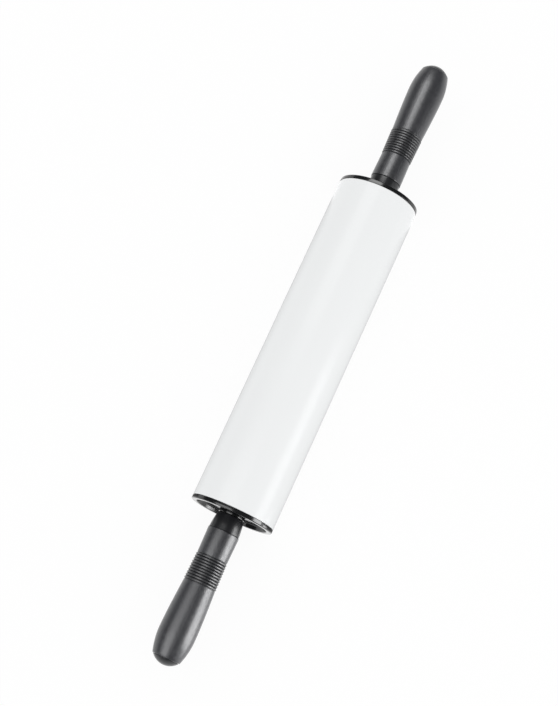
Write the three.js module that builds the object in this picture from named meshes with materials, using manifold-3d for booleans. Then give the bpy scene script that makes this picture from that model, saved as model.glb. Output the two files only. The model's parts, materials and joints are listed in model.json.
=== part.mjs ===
// Non-stick rolling pin. A coated tube with a moulded cap in each end turns on two ball
// bearings round a fixed steel axle, and the axle carries a moulded handle at each end.
// Millimetres. +X runs along the axle, +Z is up, and the origin is on the table, under
// the middle of the barrel.

import * as THREE from "three";
import { mergeVertices } from "three/addons/utils/BufferGeometryUtils.js";
import Module from "manifold-3d";

const wasm = await Module();
wasm.setup();

// Sizes of the barrel
const BARREL_DIAMETER = 60;
const BARREL_LENGTH = 253; // over the faces of both end caps
const TUBE_WALL = 1.5;

// Sizes of an end cap and of the dust ring that stands in it as a boss
const CAP_FLANGE = 3;
const CAP_EDGE_ROUND = 0.7;
const CAP_RIM_WIDTH = 3.7;
const CAP_DISH_DEPTH = 3.3;
const CAP_DISH_ROUND = 0.8;
const CAP_DISH_DRAFT = 0.4; // lean of the dish's wall
const CAP_WEB = 2.4;
const CAP_SKIRT_LENGTH = 17;
const CAP_SKIRT_WALL = 1.8;
const CAP_LEAD_IN = 1;
const DUST_RING_DIAMETER = 18.8;
const DUST_RING_BORE = 12.8;
const DUST_RING_ROUND = 0.4;
const CAP_HUB_WALL = 2.4;
const CAP_HUB_OVERHANG = 2.2; // hub wall past the inner side of the bearing
const CAP_RIB_COUNT = 6;
const CAP_RIB_THICKNESS = 1.6;
const CAP_RIB_DEPTH = 9;

// Sizes of a ball bearing
const BEARING_DIAMETER = 22;
const BEARING_SEAT_DEPTH = 6.8; // from the cap's face down to the seat's shoulder
const BALL_DIAMETER = 3.969;
const BALL_COUNT = 7;
const RACE_SIDE = 1.5155; // race past each side of the balls, for a bearing 7 mm wide
const OUTER_LAND = 1.5; // land of the outer race, out from the circle of ball centres
const INNER_LAND = 1.4; // land of the inner race, in from that circle
const CAGE_WALL = 1.5;
const CAGE_BACK = 0.4; // ring behind the ball pockets
const CAGE_LIP = 1.1; // how far the pockets reach past the ball centres
const SHIELD_THICKNESS = 0.35;
const SHIELD_SEAT_WIDTH = 0.8;
const SHIELD_SEAT_STEP = 0.9;

// Sizes of the axle and its fasteners
const AXLE_DIAMETER = 8;
const AXLE_CHAMFER = 0.6;
const AXLE_OVERRUN = 1.2; // axle past the nut
const CLIP_THICKNESS = 0.8;
const CLIP_GROOVE_DEPTH = 0.25;
const CLIP_WIDTH = 1.7;
const CLIP_OPENING = THREE.MathUtils.degToRad(44);
const CLIP_LUG_RADIUS = 1.1;
const CLIP_LUG_HOLE = 0.55;
const WASHER_DIAMETER = 16;
const WASHER_THICKNESS = 1.6;
const NUT_ACROSS_FLATS = 13;
const NUT_HEIGHT = 8;
const NUT_CHAMFER = 0.7;
const NUT_COLLAR_DIAMETER = 11.2;
const NUT_COLLAR_HEIGHT = 1.6;

// Sizes of a neck collar, between a cap and a handle
const COLLAR_LENGTH = 11.7;
const COLLAR_HUB_RADIUS = 9.4;
const COLLAR_SEAM_RADIUS = 10.95;
const COLLAR_SPIGOT_RADIUS = 7.5;
const COLLAR_SPIGOT_LENGTH = 3;
const SEAM_CHAMFER = 0.2;

// Sizes of a handle, from its seam with the collar to its end
const NECK_LENGTH = 19.1;
const NECK_RADIUS = 11.3;
const WAIST_RADIUS = 10.9;
const RIB_COUNT = 10;
const RIB_PITCH = 1.95;
const RIB_HEIGHT = 0.8;
const RIB_CREST = 0.9; // width of a rib's flat top
const RIB_SINK = 0.45; // valleys between the ribs, below the grip's own surface
const SWELL_LENGTH = 35.7;
const SWELL_START_RADIUS = 11.48;
const SWELL_RADIUS = 13;
const TAIL_LENGTH = 17.2;
const TAIL_WALL = 1.8; // wall round the nut pocket at the handle's end
const TAIL_ROUND = 0.3;
const NUT_POCKET_DEPTH = 24;

// Sizes of a handle's end plug
const PLUG_LIP = 1; // how far the dome laps over the handle's end
const PLUG_EDGE = 0.3;
const PLUG_DOME = 4.4;
const PLUG_SKIRT_LENGTH = 9;
const PLUG_WALL = 1.4;

// Clearances
const SEAT_GAP = 0.1; // between faces that seat on each other
const METAL_GAP = 0.1; // round a race on the axle or in its seat
const PLASTIC_GAP = 0.2; // round the axle, a spigot or a plug in a moulding
const CAP_GAP = 0.3; // between a cap's skirt and the tube
const WASHER_GAP = 0.3; // round the washer in the nut pocket
const RUNNING_GAP = 0.3; // between a turning cap and a fixed collar, along the axle
const BORE_GAP = 0.5; // between a dust ring's bore and the collar's nose
const GROOVE_GAP = 0.2; // between a ball and its grooves
const POCKET_GAP = 0.17; // between a ball and its pocket
const SHIELD_GAP = 0.35; // between a shield and the inner race that turns inside it

// Numbers of sides on the round forms
const BARREL_SIDES = 36;
const GRIP_SIDES = 20;
const RACE_SIDES = 20;
const CAGE_SIDES = 3 * BALL_COUNT;
const POCKET_SIDES = 10;
const BALL_SIDES = 8;
const BALL_RINGS = 5;
const AXLE_SIDES = 16;
const CLIP_SIDES = 14;
const FASTENER_SIDES = 12;

// Numbers of steps along the round stretches of a profile
const EDGE_STEPS = 2;
const OUTER_GROOVE_STEPS = 4;
const INNER_GROOVE_STEPS = 3;
const FLARE_STEPS = 3;
const GRIP_STEPS = 5;
const DOME_STEPS = 4;

// Radii that follow from those sizes
const BARREL_RADIUS = BARREL_DIAMETER / 2;
const TUBE_BORE_RADIUS = BARREL_RADIUS - TUBE_WALL;
const AXLE_RADIUS = AXLE_DIAMETER / 2;
const AXLE_HOLE_RADIUS = AXLE_RADIUS + PLASTIC_GAP;
const BEARING_RADIUS = BEARING_DIAMETER / 2;
const RACE_BORE_RADIUS = AXLE_RADIUS + METAL_GAP;
const BALL_RADIUS = BALL_DIAMETER / 2;
const BEARING_WIDTH = BALL_DIAMETER + 2 * RACE_SIDE;
const BALL_CIRCLE_RADIUS = (BEARING_RADIUS + AXLE_RADIUS) / 2;
const GROOVE_RADIUS = BALL_RADIUS + GROOVE_GAP;
const SHIELD_SEAT_RADIUS = BALL_CIRCLE_RADIUS + OUTER_LAND + SHIELD_SEAT_STEP;
const CLIP_GROOVE_RADIUS = AXLE_RADIUS - CLIP_GROOVE_DEPTH;
const COLLAR_NOSE_RADIUS = DUST_RING_BORE / 2 - BORE_GAP;
const NUT_POCKET_RADIUS = WASHER_DIAMETER / 2 + WASHER_GAP;
const TAIL_RADIUS = NUT_POCKET_RADIUS + TAIL_WALL;
const PLUG_RADIUS = NUT_POCKET_RADIUS + PLUG_LIP;
const RIBS_LENGTH = RIB_COUNT * RIB_PITCH;
const HANDLE_LENGTH = NECK_LENGTH + RIBS_LENGTH + SWELL_LENGTH + TAIL_LENGTH + TAIL_ROUND;

// Places along the axle, out from the middle of the barrel
const CAP_FACE = BARREL_LENGTH / 2;
const TUBE_END = CAP_FACE - CAP_FLANGE;
const BEARING_OUTER_SIDE = CAP_FACE - BEARING_SEAT_DEPTH - SEAT_GAP;
const BEARING_MIDDLE = BEARING_OUTER_SIDE - BEARING_WIDTH / 2;
const BEARING_INNER_SIDE = BEARING_OUTER_SIDE - BEARING_WIDTH;
const CLIP_OUTER_SIDE = BEARING_INNER_SIDE - SEAT_GAP;
const COLLAR_START = CAP_FACE + RUNNING_GAP;
const HANDLE_START = COLLAR_START + COLLAR_LENGTH + SEAT_GAP;
const HANDLE_END = HANDLE_START + HANDLE_LENGTH;
const POCKET_FLOOR = HANDLE_END - NUT_POCKET_DEPTH;
const WASHER_START = POCKET_FLOOR + SEAT_GAP;
const NUT_START = WASHER_START + WASHER_THICKNESS + SEAT_GAP;
const AXLE_END = NUT_START + NUT_HEIGHT + AXLE_OVERRUN;
const AXLE_HEIGHT = BARREL_RADIUS * Math.cos(Math.PI / BARREL_SIDES);

const FINISHES = {
  coating: { color: 0xebeded, roughness: 0.36, metalness: 0 },
  gloss: { color: 0x151618, roughness: 0.2, metalness: 0 },
  grip: { color: 0x4a4b4e, roughness: 0.5, metalness: 0 },
  steel: { color: 0xb4b7bb, roughness: 0.3, metalness: 1 },
  zinc: { color: 0xa9adb3, roughness: 0.38, metalness: 1 },
  nylon: { color: 0xd8d2c0, roughness: 0.55, metalness: 0 },
};

// A profile point: its radius and its place along the axle
function at(radius, along) {
  return new THREE.Vector2(radius, along);
}

// An arc of a profile round a centre: 0 degrees is straight out from the axle
function arc(centre, radius, fromDegrees, toDegrees, steps) {
  const from = THREE.MathUtils.degToRad(fromDegrees);
  const to = THREE.MathUtils.degToRad(toDegrees);
  const curve = new THREE.EllipseCurve(centre.x, centre.y, radius, radius, from, to, to < from);
  return curve.getPoints(steps);
}

// A smooth stretch of a profile that leaves and arrives along lines through one point
function sweep(from, through, to, steps) {
  return new THREE.QuadraticBezierCurve(from, through, to).getPoints(steps);
}

// Turns a profile about the axle, with a flat side facing down. A profile that keeps off
// the axle is closed on itself.
function turned(profile, sides) {
  const points = profile[0].x > 0 ? [...profile, profile[0]] : profile;
  const geometry = new THREE.LatheGeometry(points, sides, Math.PI / sides);
  return geometry.rotateZ(-Math.PI / 2);
}

function toSolid(geometry) {
  geometry.deleteAttribute("normal");
  geometry.deleteAttribute("uv");
  const merged = mergeVertices(geometry);
  const mesh = new wasm.Mesh({
    numProp: 3,
    vertProperties: Float32Array.from(merged.attributes.position.array),
    triVerts: Uint32Array.from(merged.index.array),
  });
  mesh.merge();
  return new wasm.Manifold(mesh);
}

function toGeometry(solid) {
  const mesh = solid.getMesh();
  const geometry = new THREE.BufferGeometry();
  geometry.setAttribute("position", new THREE.BufferAttribute(mesh.vertProperties, 3));
  geometry.setIndex(new THREE.BufferAttribute(mesh.triVerts, 1));
  geometry.computeVertexNormals();
  return geometry;
}

// The coated tube, from the middle of the barrel
function barrelTube() {
  const profile = [
    at(TUBE_BORE_RADIUS, -TUBE_END),
    at(BARREL_RADIUS, -TUBE_END),
    at(BARREL_RADIUS, TUBE_END),
    at(TUBE_BORE_RADIUS, TUBE_END),
  ];
  return turned(profile, BARREL_SIDES);
}

// The axle, from its middle, with a circlip groove inside each bearing
function axleRod() {
  const grooveOuter = CLIP_OUTER_SIDE + SEAT_GAP;
  const grooveInner = CLIP_OUTER_SIDE - CLIP_THICKNESS - SEAT_GAP;
  const half = [
    at(AXLE_RADIUS, grooveInner),
    at(CLIP_GROOVE_RADIUS, grooveInner),
    at(CLIP_GROOVE_RADIUS, grooveOuter),
    at(AXLE_RADIUS, grooveOuter),
    at(AXLE_RADIUS, AXLE_END - AXLE_CHAMFER),
    at(AXLE_RADIUS - AXLE_CHAMFER, AXLE_END),
    at(0, AXLE_END),
  ];
  const otherHalf = half.map((point) => at(point.x, -point.y)).reverse();
  return turned([...otherHalf, ...half], AXLE_SIDES);
}

// An end cap, from its outer face: flange with a dished face, a skirt that fits the tube,
// and a hub with the bearing's seat, tied to the skirt by ribs
function endCap() {
  const floor = -CAP_DISH_DEPTH;
  const web = floor - CAP_WEB;
  const flange = SEAT_GAP - CAP_FLANGE;
  const skirtEnd = flange - CAP_SKIRT_LENGTH;
  const skirtRadius = TUBE_BORE_RADIUS - CAP_GAP;
  const skirtInside = skirtRadius - CAP_SKIRT_WALL;
  const seatRadius = BEARING_RADIUS + METAL_GAP;
  const hubRadius = seatRadius + CAP_HUB_WALL;
  const hubEnd = -BEARING_SEAT_DEPTH - SEAT_GAP - BEARING_WIDTH - CAP_HUB_OVERHANG;
  const dishRadius = BARREL_RADIUS - CAP_RIM_WIDTH;
  const holeRadius = DUST_RING_DIAMETER / 2 + METAL_GAP;
  const edge = at(BARREL_RADIUS - CAP_EDGE_ROUND, -CAP_EDGE_ROUND);
  const profile = [
    at(seatRadius, hubEnd),
    at(hubRadius, hubEnd),
    at(hubRadius, web),
    at(skirtInside, web),
    at(skirtInside, skirtEnd),
    at(skirtRadius - CAP_LEAD_IN / 2, skirtEnd),
    at(skirtRadius, skirtEnd + CAP_LEAD_IN),
    at(skirtRadius, flange),
    at(BARREL_RADIUS, flange),
    ...arc(edge, CAP_EDGE_ROUND, 0, 90, EDGE_STEPS),
    at(dishRadius, 0),
    at(dishRadius - CAP_DISH_DRAFT, floor + CAP_DISH_ROUND),
    at(dishRadius - CAP_DISH_DRAFT - CAP_DISH_ROUND, floor),
    at(holeRadius, floor),
    at(holeRadius, -BEARING_SEAT_DEPTH),
    at(seatRadius, -BEARING_SEAT_DEPTH),
  ];
  let cap = toSolid(turned(profile, BARREL_SIDES));
  const ribFrom = hubRadius - CAP_HUB_WALL / 2;
  const ribTo = skirtInside + CAP_SKIRT_WALL / 2;
  for (let k = 0; k < CAP_RIB_COUNT; k += 1) {
    const depth = CAP_RIB_DEPTH + CAP_WEB / 2;
    const rib = new THREE.BoxGeometry(depth, CAP_RIB_THICKNESS, ribTo - ribFrom);
    rib.translate(web - CAP_RIB_DEPTH + depth / 2, 0, (ribFrom + ribTo) / 2);
    rib.rotateX((2 * Math.PI * k) / CAP_RIB_COUNT);
    cap = cap.add(toSolid(rib));
  }
  return toGeometry(cap);
}

// A dust ring, from its outer face: pressed into the cap's hole, over the bearing
function dustRing() {
  const outside = DUST_RING_DIAMETER / 2;
  const inside = DUST_RING_BORE / 2;
  const edge = at(outside - DUST_RING_ROUND, -DUST_RING_ROUND);
  const profile = [
    at(inside, -BEARING_SEAT_DEPTH),
    at(outside, -BEARING_SEAT_DEPTH),
    ...arc(edge, DUST_RING_ROUND, 0, 90, EDGE_STEPS),
    at(inside, 0),
  ];
  return turned(profile, RACE_SIDES);
}

// The bearing's outer race, from its middle, with a groove for the balls and a stepped
// seat for each shield
function outerRace() {
  const half = BEARING_WIDTH / 2;
  const land = BALL_CIRCLE_RADIUS + OUTER_LAND;
  const seat = half - SHIELD_SEAT_WIDTH;
  const open = THREE.MathUtils.radToDeg(Math.acos(OUTER_LAND / GROOVE_RADIUS));
  const profile = [
    at(SHIELD_SEAT_RADIUS, -half),
    at(BEARING_RADIUS, -half),
    at(BEARING_RADIUS, half),
    at(SHIELD_SEAT_RADIUS, half),
    at(SHIELD_SEAT_RADIUS, seat),
    at(land, seat),
    ...arc(at(BALL_CIRCLE_RADIUS, 0), GROOVE_RADIUS, open, -open, OUTER_GROOVE_STEPS),
    at(land, -seat),
    at(SHIELD_SEAT_RADIUS, -seat),
  ];
  return turned(profile, RACE_SIDES);
}

// The bearing's inner race, from its middle
function innerRace() {
  const half = BEARING_WIDTH / 2;
  const land = BALL_CIRCLE_RADIUS - INNER_LAND;
  const open = THREE.MathUtils.radToDeg(Math.acos(INNER_LAND / GROOVE_RADIUS));
  const profile = [
    at(RACE_BORE_RADIUS, -half),
    at(land, -half),
    ...arc(at(BALL_CIRCLE_RADIUS, 0), GROOVE_RADIUS, 180 + open, 180 - open, INNER_GROOVE_STEPS),
    at(land, half),
    at(RACE_BORE_RADIUS, half),
  ];
  return turned(profile, RACE_SIDES);
}

// The snap cage, from the bearing's middle: a ring whose pockets are open on one side
function ballCage() {
  const pocketRadius = BALL_RADIUS + POCKET_GAP;
  const inside = BALL_CIRCLE_RADIUS - CAGE_WALL / 2;
  const outside = BALL_CIRCLE_RADIUS + CAGE_WALL / 2;
  const back = pocketRadius + CAGE_BACK;
  const profile = [at(inside, -CAGE_LIP), at(outside, -CAGE_LIP), at(outside, back), at(inside, back)];
  let cage = toSolid(turned(profile, CAGE_SIDES));
  for (let k = 0; k < BALL_COUNT; k += 1) {
    const pocket = new THREE.CylinderGeometry(pocketRadius, pocketRadius, 2 * CAGE_WALL, POCKET_SIDES);
    pocket.rotateX(Math.PI / 2);
    pocket.translate(0, 0, BALL_CIRCLE_RADIUS);
    pocket.rotateX((2 * Math.PI * k) / BALL_COUNT);
    cage = cage.subtract(toSolid(pocket));
  }
  return toGeometry(cage);
}

function bearingBall() {
  return new THREE.SphereGeometry(BALL_RADIUS, BALL_SIDES, BALL_RINGS);
}

// A bearing shield, from its inner face
function bearingShield() {
  const inside = BALL_CIRCLE_RADIUS - INNER_LAND + SHIELD_GAP;
  const outside = SHIELD_SEAT_RADIUS - METAL_GAP;
  const profile = [
    at(inside, 0),
    at(outside, 0),
    at(outside, SHIELD_THICKNESS),
    at(inside, SHIELD_THICKNESS),
  ];
  return turned(profile, RACE_SIDES);
}

// A circlip, from its inner side: an open ring with a drilled lug at each end
function circlip() {
  const inside = CLIP_GROOVE_RADIUS + METAL_GAP;
  const outside = inside + CLIP_WIDTH;
  const start = CLIP_OPENING / 2;
  const end = 2 * Math.PI - start;
  const ring = new THREE.Shape();
  ring.absarc(0, 0, outside, start, end, false);
  ring.absarc(0, 0, inside, end, start, true);
  const flat = { depth: CLIP_THICKNESS, bevelEnabled: false, curveSegments: CLIP_SIDES / 2 };
  let clip = toSolid(new THREE.ExtrudeGeometry(ring, flat));
  const lugCircle = outside - CLIP_LUG_RADIUS / 2;
  for (const angle of [start, end]) {
    const disc = (radius, height) => {
      const cylinder = new THREE.CylinderGeometry(radius, radius, height, POCKET_SIDES);
      cylinder.rotateX(Math.PI / 2);
      cylinder.translate(lugCircle * Math.cos(angle), lugCircle * Math.sin(angle), CLIP_THICKNESS / 2);
      return toSolid(cylinder);
    };
    clip = clip.add(disc(CLIP_LUG_RADIUS, CLIP_THICKNESS));
    clip = clip.subtract(disc(CLIP_LUG_HOLE, 2 * CLIP_THICKNESS));
  }
  return toGeometry(clip).rotateY(Math.PI / 2);
}

// A neck collar, from its running face at the dust ring: a nose that reaches in to the
// inner race, a flared body and a spigot for the handle
function neckCollar() {
  const noseEnd = BEARING_OUTER_SIDE + SEAT_GAP - COLLAR_START;
  const shoulder = COLLAR_SEAM_RADIUS - SEAM_CHAMFER;
  const hub = at(COLLAR_HUB_RADIUS, 0);
  const bend = at(COLLAR_SEAM_RADIUS - SEAM_CHAMFER, COLLAR_LENGTH / 2);
  const seam = at(COLLAR_SEAM_RADIUS, COLLAR_LENGTH - SEAM_CHAMFER);
  const profile = [
    at(AXLE_HOLE_RADIUS, noseEnd),
    at(COLLAR_NOSE_RADIUS, noseEnd),
    at(COLLAR_NOSE_RADIUS, 0),
    ...sweep(hub, bend, seam, FLARE_STEPS),
    at(shoulder, COLLAR_LENGTH),
    at(COLLAR_SPIGOT_RADIUS, COLLAR_LENGTH),
    at(COLLAR_SPIGOT_RADIUS, COLLAR_LENGTH + COLLAR_SPIGOT_LENGTH),
    at(AXLE_HOLE_RADIUS, COLLAR_LENGTH + COLLAR_SPIGOT_LENGTH),
  ];
  return turned(profile, GRIP_SIDES);
}

// The raised rings round a handle, from the valley before the first to the valley after
// the last, on a grip that widens evenly beneath them
function gripRibs() {
  const points = [];
  const slope = (SWELL_START_RADIUS - WAIST_RADIUS) / RIBS_LENGTH;
  const side = (RIB_PITCH - RIB_CREST) / 2;
  for (let k = 0; k < RIB_COUNT; k += 1) {
    const along = k * RIB_PITCH;
    const valley = WAIST_RADIUS + slope * along - RIB_SINK;
    points.push(at(valley, NECK_LENGTH + along));
    points.push(at(valley + RIB_HEIGHT, NECK_LENGTH + along + side));
    points.push(at(valley + RIB_HEIGHT, NECK_LENGTH + along + side + RIB_CREST));
  }
  points.push(at(SWELL_START_RADIUS - RIB_SINK, NECK_LENGTH + RIBS_LENGTH));
  return points;
}

// A handle, from its seam with the collar: recess for the spigot, tapered neck, ribs,
// swelling grip, and a pocket for the nut in its end
function gripHandle() {
  const recessRadius = COLLAR_SPIGOT_RADIUS + PLASTIC_GAP;
  const recessDepth = COLLAR_SPIGOT_LENGTH + PLASTIC_GAP;
  const ribsEnd = NECK_LENGTH + RIBS_LENGTH;
  const fullest = ribsEnd + SWELL_LENGTH;
  const tailEnd = fullest + TAIL_LENGTH;
  const pocket = HANDLE_LENGTH - NUT_POCKET_DEPTH;
  const swellFrom = at(SWELL_START_RADIUS, ribsEnd + RIB_SINK);
  const swellBend = at(SWELL_RADIUS, ribsEnd + (2 * SWELL_LENGTH) / 3);
  const swellTo = at(SWELL_RADIUS, fullest);
  const tailBend = at(SWELL_RADIUS, fullest + TAIL_LENGTH / 2);
  const tailTo = at(TAIL_RADIUS, tailEnd);
  const profile = [
    at(AXLE_HOLE_RADIUS, recessDepth),
    at(recessRadius, recessDepth),
    at(recessRadius, 0),
    at(NECK_RADIUS - SEAM_CHAMFER, 0),
    at(NECK_RADIUS, SEAM_CHAMFER),
    at(WAIST_RADIUS, NECK_LENGTH - RIB_SINK),
    ...gripRibs(),
    ...sweep(swellFrom, swellBend, swellTo, GRIP_STEPS),
    ...sweep(swellTo, tailBend, tailTo, GRIP_STEPS).slice(1),
    at(TAIL_RADIUS - TAIL_ROUND, HANDLE_LENGTH),
    at(NUT_POCKET_RADIUS, HANDLE_LENGTH),
    at(NUT_POCKET_RADIUS, pocket),
    at(AXLE_HOLE_RADIUS, pocket),
  ];
  return turned(profile, GRIP_SIDES);
}

// A washer, from its inner face
function washer() {
  const profile = [
    at(AXLE_HOLE_RADIUS, 0),
    at(WASHER_DIAMETER / 2, 0),
    at(WASHER_DIAMETER / 2, WASHER_THICKNESS),
    at(AXLE_HOLE_RADIUS, WASHER_THICKNESS),
  ];
  return turned(profile, FASTENER_SIDES);
}

// A self-locking nut, from its face on the washer: a chamfered hexagon with a round
// collar that holds the locking ring
function lockNut() {
  const bore = AXLE_HOLE_RADIUS;
  const flat = NUT_ACROSS_FLATS / 2;
  const corner = NUT_ACROSS_FLATS / Math.sqrt(3);
  const hexTop = NUT_HEIGHT - NUT_COLLAR_HEIGHT;
  const profile = [
    at(bore, 0),
    at(flat, 0),
    at(corner + NUT_CHAMFER, NUT_CHAMFER),
    at(corner + NUT_CHAMFER, hexTop - NUT_CHAMFER),
    at(flat, hexTop),
    at(NUT_COLLAR_DIAMETER / 2, hexTop),
    at(NUT_COLLAR_DIAMETER / 2, NUT_HEIGHT),
    at(bore, NUT_HEIGHT),
  ];
  const hexagon = new THREE.CylinderGeometry(corner, corner, NUT_HEIGHT, 6);
  hexagon.rotateZ(-Math.PI / 2);
  hexagon.translate(NUT_HEIGHT / 2, 0, 0);
  return toGeometry(toSolid(turned(profile, FASTENER_SIDES)).intersect(toSolid(hexagon)));
}

// An end plug, from the face that seats on the handle's end: a domed button on a skirt
// that is pushed into the nut pocket
function endPlug() {
  const skirt = NUT_POCKET_RADIUS - PLASTIC_GAP;
  const inside = skirt - PLUG_WALL;
  const domeRadius = (PLUG_RADIUS ** 2 + PLUG_DOME ** 2) / (2 * PLUG_DOME);
  const domeCentre = at(0, PLUG_EDGE + PLUG_DOME - domeRadius);
  const spread = THREE.MathUtils.radToDeg(Math.acos(PLUG_RADIUS / domeRadius));
  const profile = [
    at(0, PLUG_EDGE),
    at(inside, PLUG_EDGE),
    at(inside, -PLUG_SKIRT_LENGTH),
    at(skirt, -PLUG_SKIRT_LENGTH),
    at(skirt, 0),
    at(PLUG_RADIUS, 0),
    ...arc(domeCentre, domeRadius, spread, 90, DOME_STEPS).slice(0, -1),
    at(0, PLUG_EDGE + PLUG_DOME),
  ];
  return turned(profile, GRIP_SIDES);
}

function node(name, geometry, finish, along) {
  const mesh = new THREE.Mesh(geometry, new THREE.MeshStandardMaterial(finish));
  mesh.name = name;
  mesh.position.x = along;
  return mesh;
}

// A ball bearing with its races, cage, balls and shields
function bearing(side) {
  const group = new THREE.Group();
  group.position.x = BEARING_MIDDLE;
  group.add(node(`outer_race_${side}`, outerRace(), FINISHES.steel, 0));
  group.add(node(`inner_race_${side}`, innerRace(), FINISHES.steel, 0));
  group.add(node(`ball_cage_${side}`, ballCage(), FINISHES.nylon, 0));
  for (let k = 0; k < BALL_COUNT; k += 1) {
    const ball = node(`bearing_ball_${side}_${k + 1}`, bearingBall(), FINISHES.steel, 0);
    const angle = (2 * Math.PI * k) / BALL_COUNT;
    ball.position.y = -BALL_CIRCLE_RADIUS * Math.sin(angle);
    ball.position.z = BALL_CIRCLE_RADIUS * Math.cos(angle);
    group.add(ball);
  }
  const shieldPlace = BEARING_WIDTH / 2 - SHIELD_SEAT_WIDTH + SEAT_GAP;
  const outward = node(`shield_outward_${side}`, bearingShield(), FINISHES.zinc, shieldPlace);
  const inward = node(`shield_inward_${side}`, bearingShield(), FINISHES.zinc, -shieldPlace);
  inward.rotation.z = Math.PI;
  group.add(outward, inward);
  return group;
}

// Everything at one end of the pin, built outward along +X
function pinEnd(side) {
  const group = new THREE.Group();
  const clipPlace = CLIP_OUTER_SIDE - CLIP_THICKNESS;
  group.add(node(`end_cap_${side}`, endCap(), FINISHES.gloss, CAP_FACE));
  group.add(node(`dust_ring_${side}`, dustRing(), FINISHES.gloss, CAP_FACE));
  group.add(bearing(side));
  group.add(node(`circlip_${side}`, circlip(), FINISHES.steel, clipPlace));
  group.add(node(`neck_collar_${side}`, neckCollar(), FINISHES.grip, COLLAR_START));
  group.add(node(`handle_${side}`, gripHandle(), FINISHES.grip, HANDLE_START));
  group.add(node(`washer_${side}`, washer(), FINISHES.zinc, WASHER_START));
  group.add(node(`lock_nut_${side}`, lockNut(), FINISHES.zinc, NUT_START));
  group.add(node(`end_plug_${side}`, endPlug(), FINISHES.grip, HANDLE_END + SEAT_GAP));
  return group;
}

const rollingPin = new THREE.Group();
rollingPin.position.z = AXLE_HEIGHT;
rollingPin.add(node("barrel_tube", barrelTube(), FINISHES.coating, 0));
rollingPin.add(node("axle_rod", axleRod(), FINISHES.steel, 0));
const rightEnd = pinEnd("right");
const leftEnd = pinEnd("left");
leftEnd.rotation.z = Math.PI;
rollingPin.add(rightEnd, leftEnd);

export default rollingPin;
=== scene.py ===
"""The looks of a non-stick rolling pin: a coated barrel that turns on two ball bearings, capped
ends, and a ribbed handle on each end of the axle. Metres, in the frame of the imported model: the
axle runs along X, Z is up, and the pin lies on the floor at Z = 0."""

import json
import math
from typing import NamedTuple

import bmesh
import bpy
from mathutils import Matrix, Vector


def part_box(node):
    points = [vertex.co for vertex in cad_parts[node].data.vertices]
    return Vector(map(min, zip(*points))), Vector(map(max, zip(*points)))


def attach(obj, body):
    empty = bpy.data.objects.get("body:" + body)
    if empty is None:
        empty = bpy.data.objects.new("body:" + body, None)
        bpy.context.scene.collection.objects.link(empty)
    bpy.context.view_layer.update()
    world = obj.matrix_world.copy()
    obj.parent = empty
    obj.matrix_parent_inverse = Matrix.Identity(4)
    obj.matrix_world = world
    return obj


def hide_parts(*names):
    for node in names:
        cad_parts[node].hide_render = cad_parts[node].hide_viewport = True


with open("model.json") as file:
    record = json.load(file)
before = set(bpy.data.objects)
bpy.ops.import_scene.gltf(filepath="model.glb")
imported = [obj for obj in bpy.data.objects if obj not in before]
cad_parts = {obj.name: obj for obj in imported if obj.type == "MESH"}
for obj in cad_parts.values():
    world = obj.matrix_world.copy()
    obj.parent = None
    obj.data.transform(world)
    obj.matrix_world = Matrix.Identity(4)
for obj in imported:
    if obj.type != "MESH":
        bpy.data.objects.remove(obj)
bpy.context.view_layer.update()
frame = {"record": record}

bl_info = {
    "name": "Non-stick rolling pin",
    "version": (1, 0, 0),
    "blender": (4, 5, 0),
    "location": "3D View > Sidebar > Rolling pin",
    "description": "Models a rolling pin with a coated barrel, capped ends and ribbed handles",
    "category": "Mesh",
}

MM = 0.001
BODY_OF = {
    node: body
    for body, nodes in frame["record"]["behaviour"]["bodies"].items()
    for node in nodes
}


def span(node):
    """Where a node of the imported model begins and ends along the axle"""
    low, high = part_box(node)
    return low.x, high.x


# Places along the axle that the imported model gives, at the right end of the pin
TUBE_END = span("barrel_tube")[1]
AXLE_END = span("axle_rod")[1]
CAP_BACK, CAP_FACE = span("end_cap_right")
RING_BACK, RING_FACE = span("dust_ring_right")
RACE_IN, RACE_OUT = span("outer_race_right")
CAGE_LIP, CAGE_BACK = span("ball_cage_right")
CLIP_IN, CLIP_OUT = span("circlip_right")
NOSE_END, SPIGOT_END = span("neck_collar_right")
HANDLE_START, HANDLE_END = span("handle_right")
WASHER_IN, WASHER_OUT = span("washer_right")
NUT_IN, NUT_OUT = span("lock_nut_right")
PLUG_SKIRT_END, PLUG_TIP = span("end_plug_right")
BALL_MIDDLE = (RACE_IN + RACE_OUT) / 2

# The barrel rests on the floor, so its height gives both its radius and the axle's height
BARREL_RADIUS = (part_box("barrel_tube")[1].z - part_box("barrel_tube")[0].z) / 2
AXLE_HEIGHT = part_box("barrel_tube")[0].z + BARREL_RADIUS
AXLE_CENTRE = Vector((0, 0, AXLE_HEIGHT))

# Steps round a turned piece, along a smooth stretch and along a rounded corner, and cuts in a ball
BARREL_STEPS = 192
GRIP_STEPS = 128
BEARING_STEPS = 84
TOOL_STEPS = 40
SWEEP_STEPS = 20
ROUND_STEPS = 4
BALL_CUTS = 9

# Roundings of plain edges: soft, crisp, and barely broken
SOFT_EDGE = 0.4 * MM
CRISP_EDGE = 0.2 * MM
BROKEN_EDGE = 0.1 * MM

# Faces that meet at a smaller angle than this look like one, and points nearer than this are one
SMOOTH_ANGLE = math.radians(40)
WELD = 0.002 * MM

# How a rod lies, and the sides of the bar that nuts are cut from
ALONG_AXLE = (0, math.pi / 2, 0)
UPRIGHT = (0, 0, 0)
NUT_SIDES = 6

# The floor's side, and where the barrel's shade on it fades in reflections: along the axle, measured
# from the caps' faces, and across it, as a share of its reach
FLOOR_SIZE = 40.0
SHADE_FADE_START = -5 * MM
SHADE_FADE_END = 2 * MM
SHADE_SOFTNESS = 0.2

# How near to the camera things still show
CAMERA_NEAR = 0.01

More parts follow.
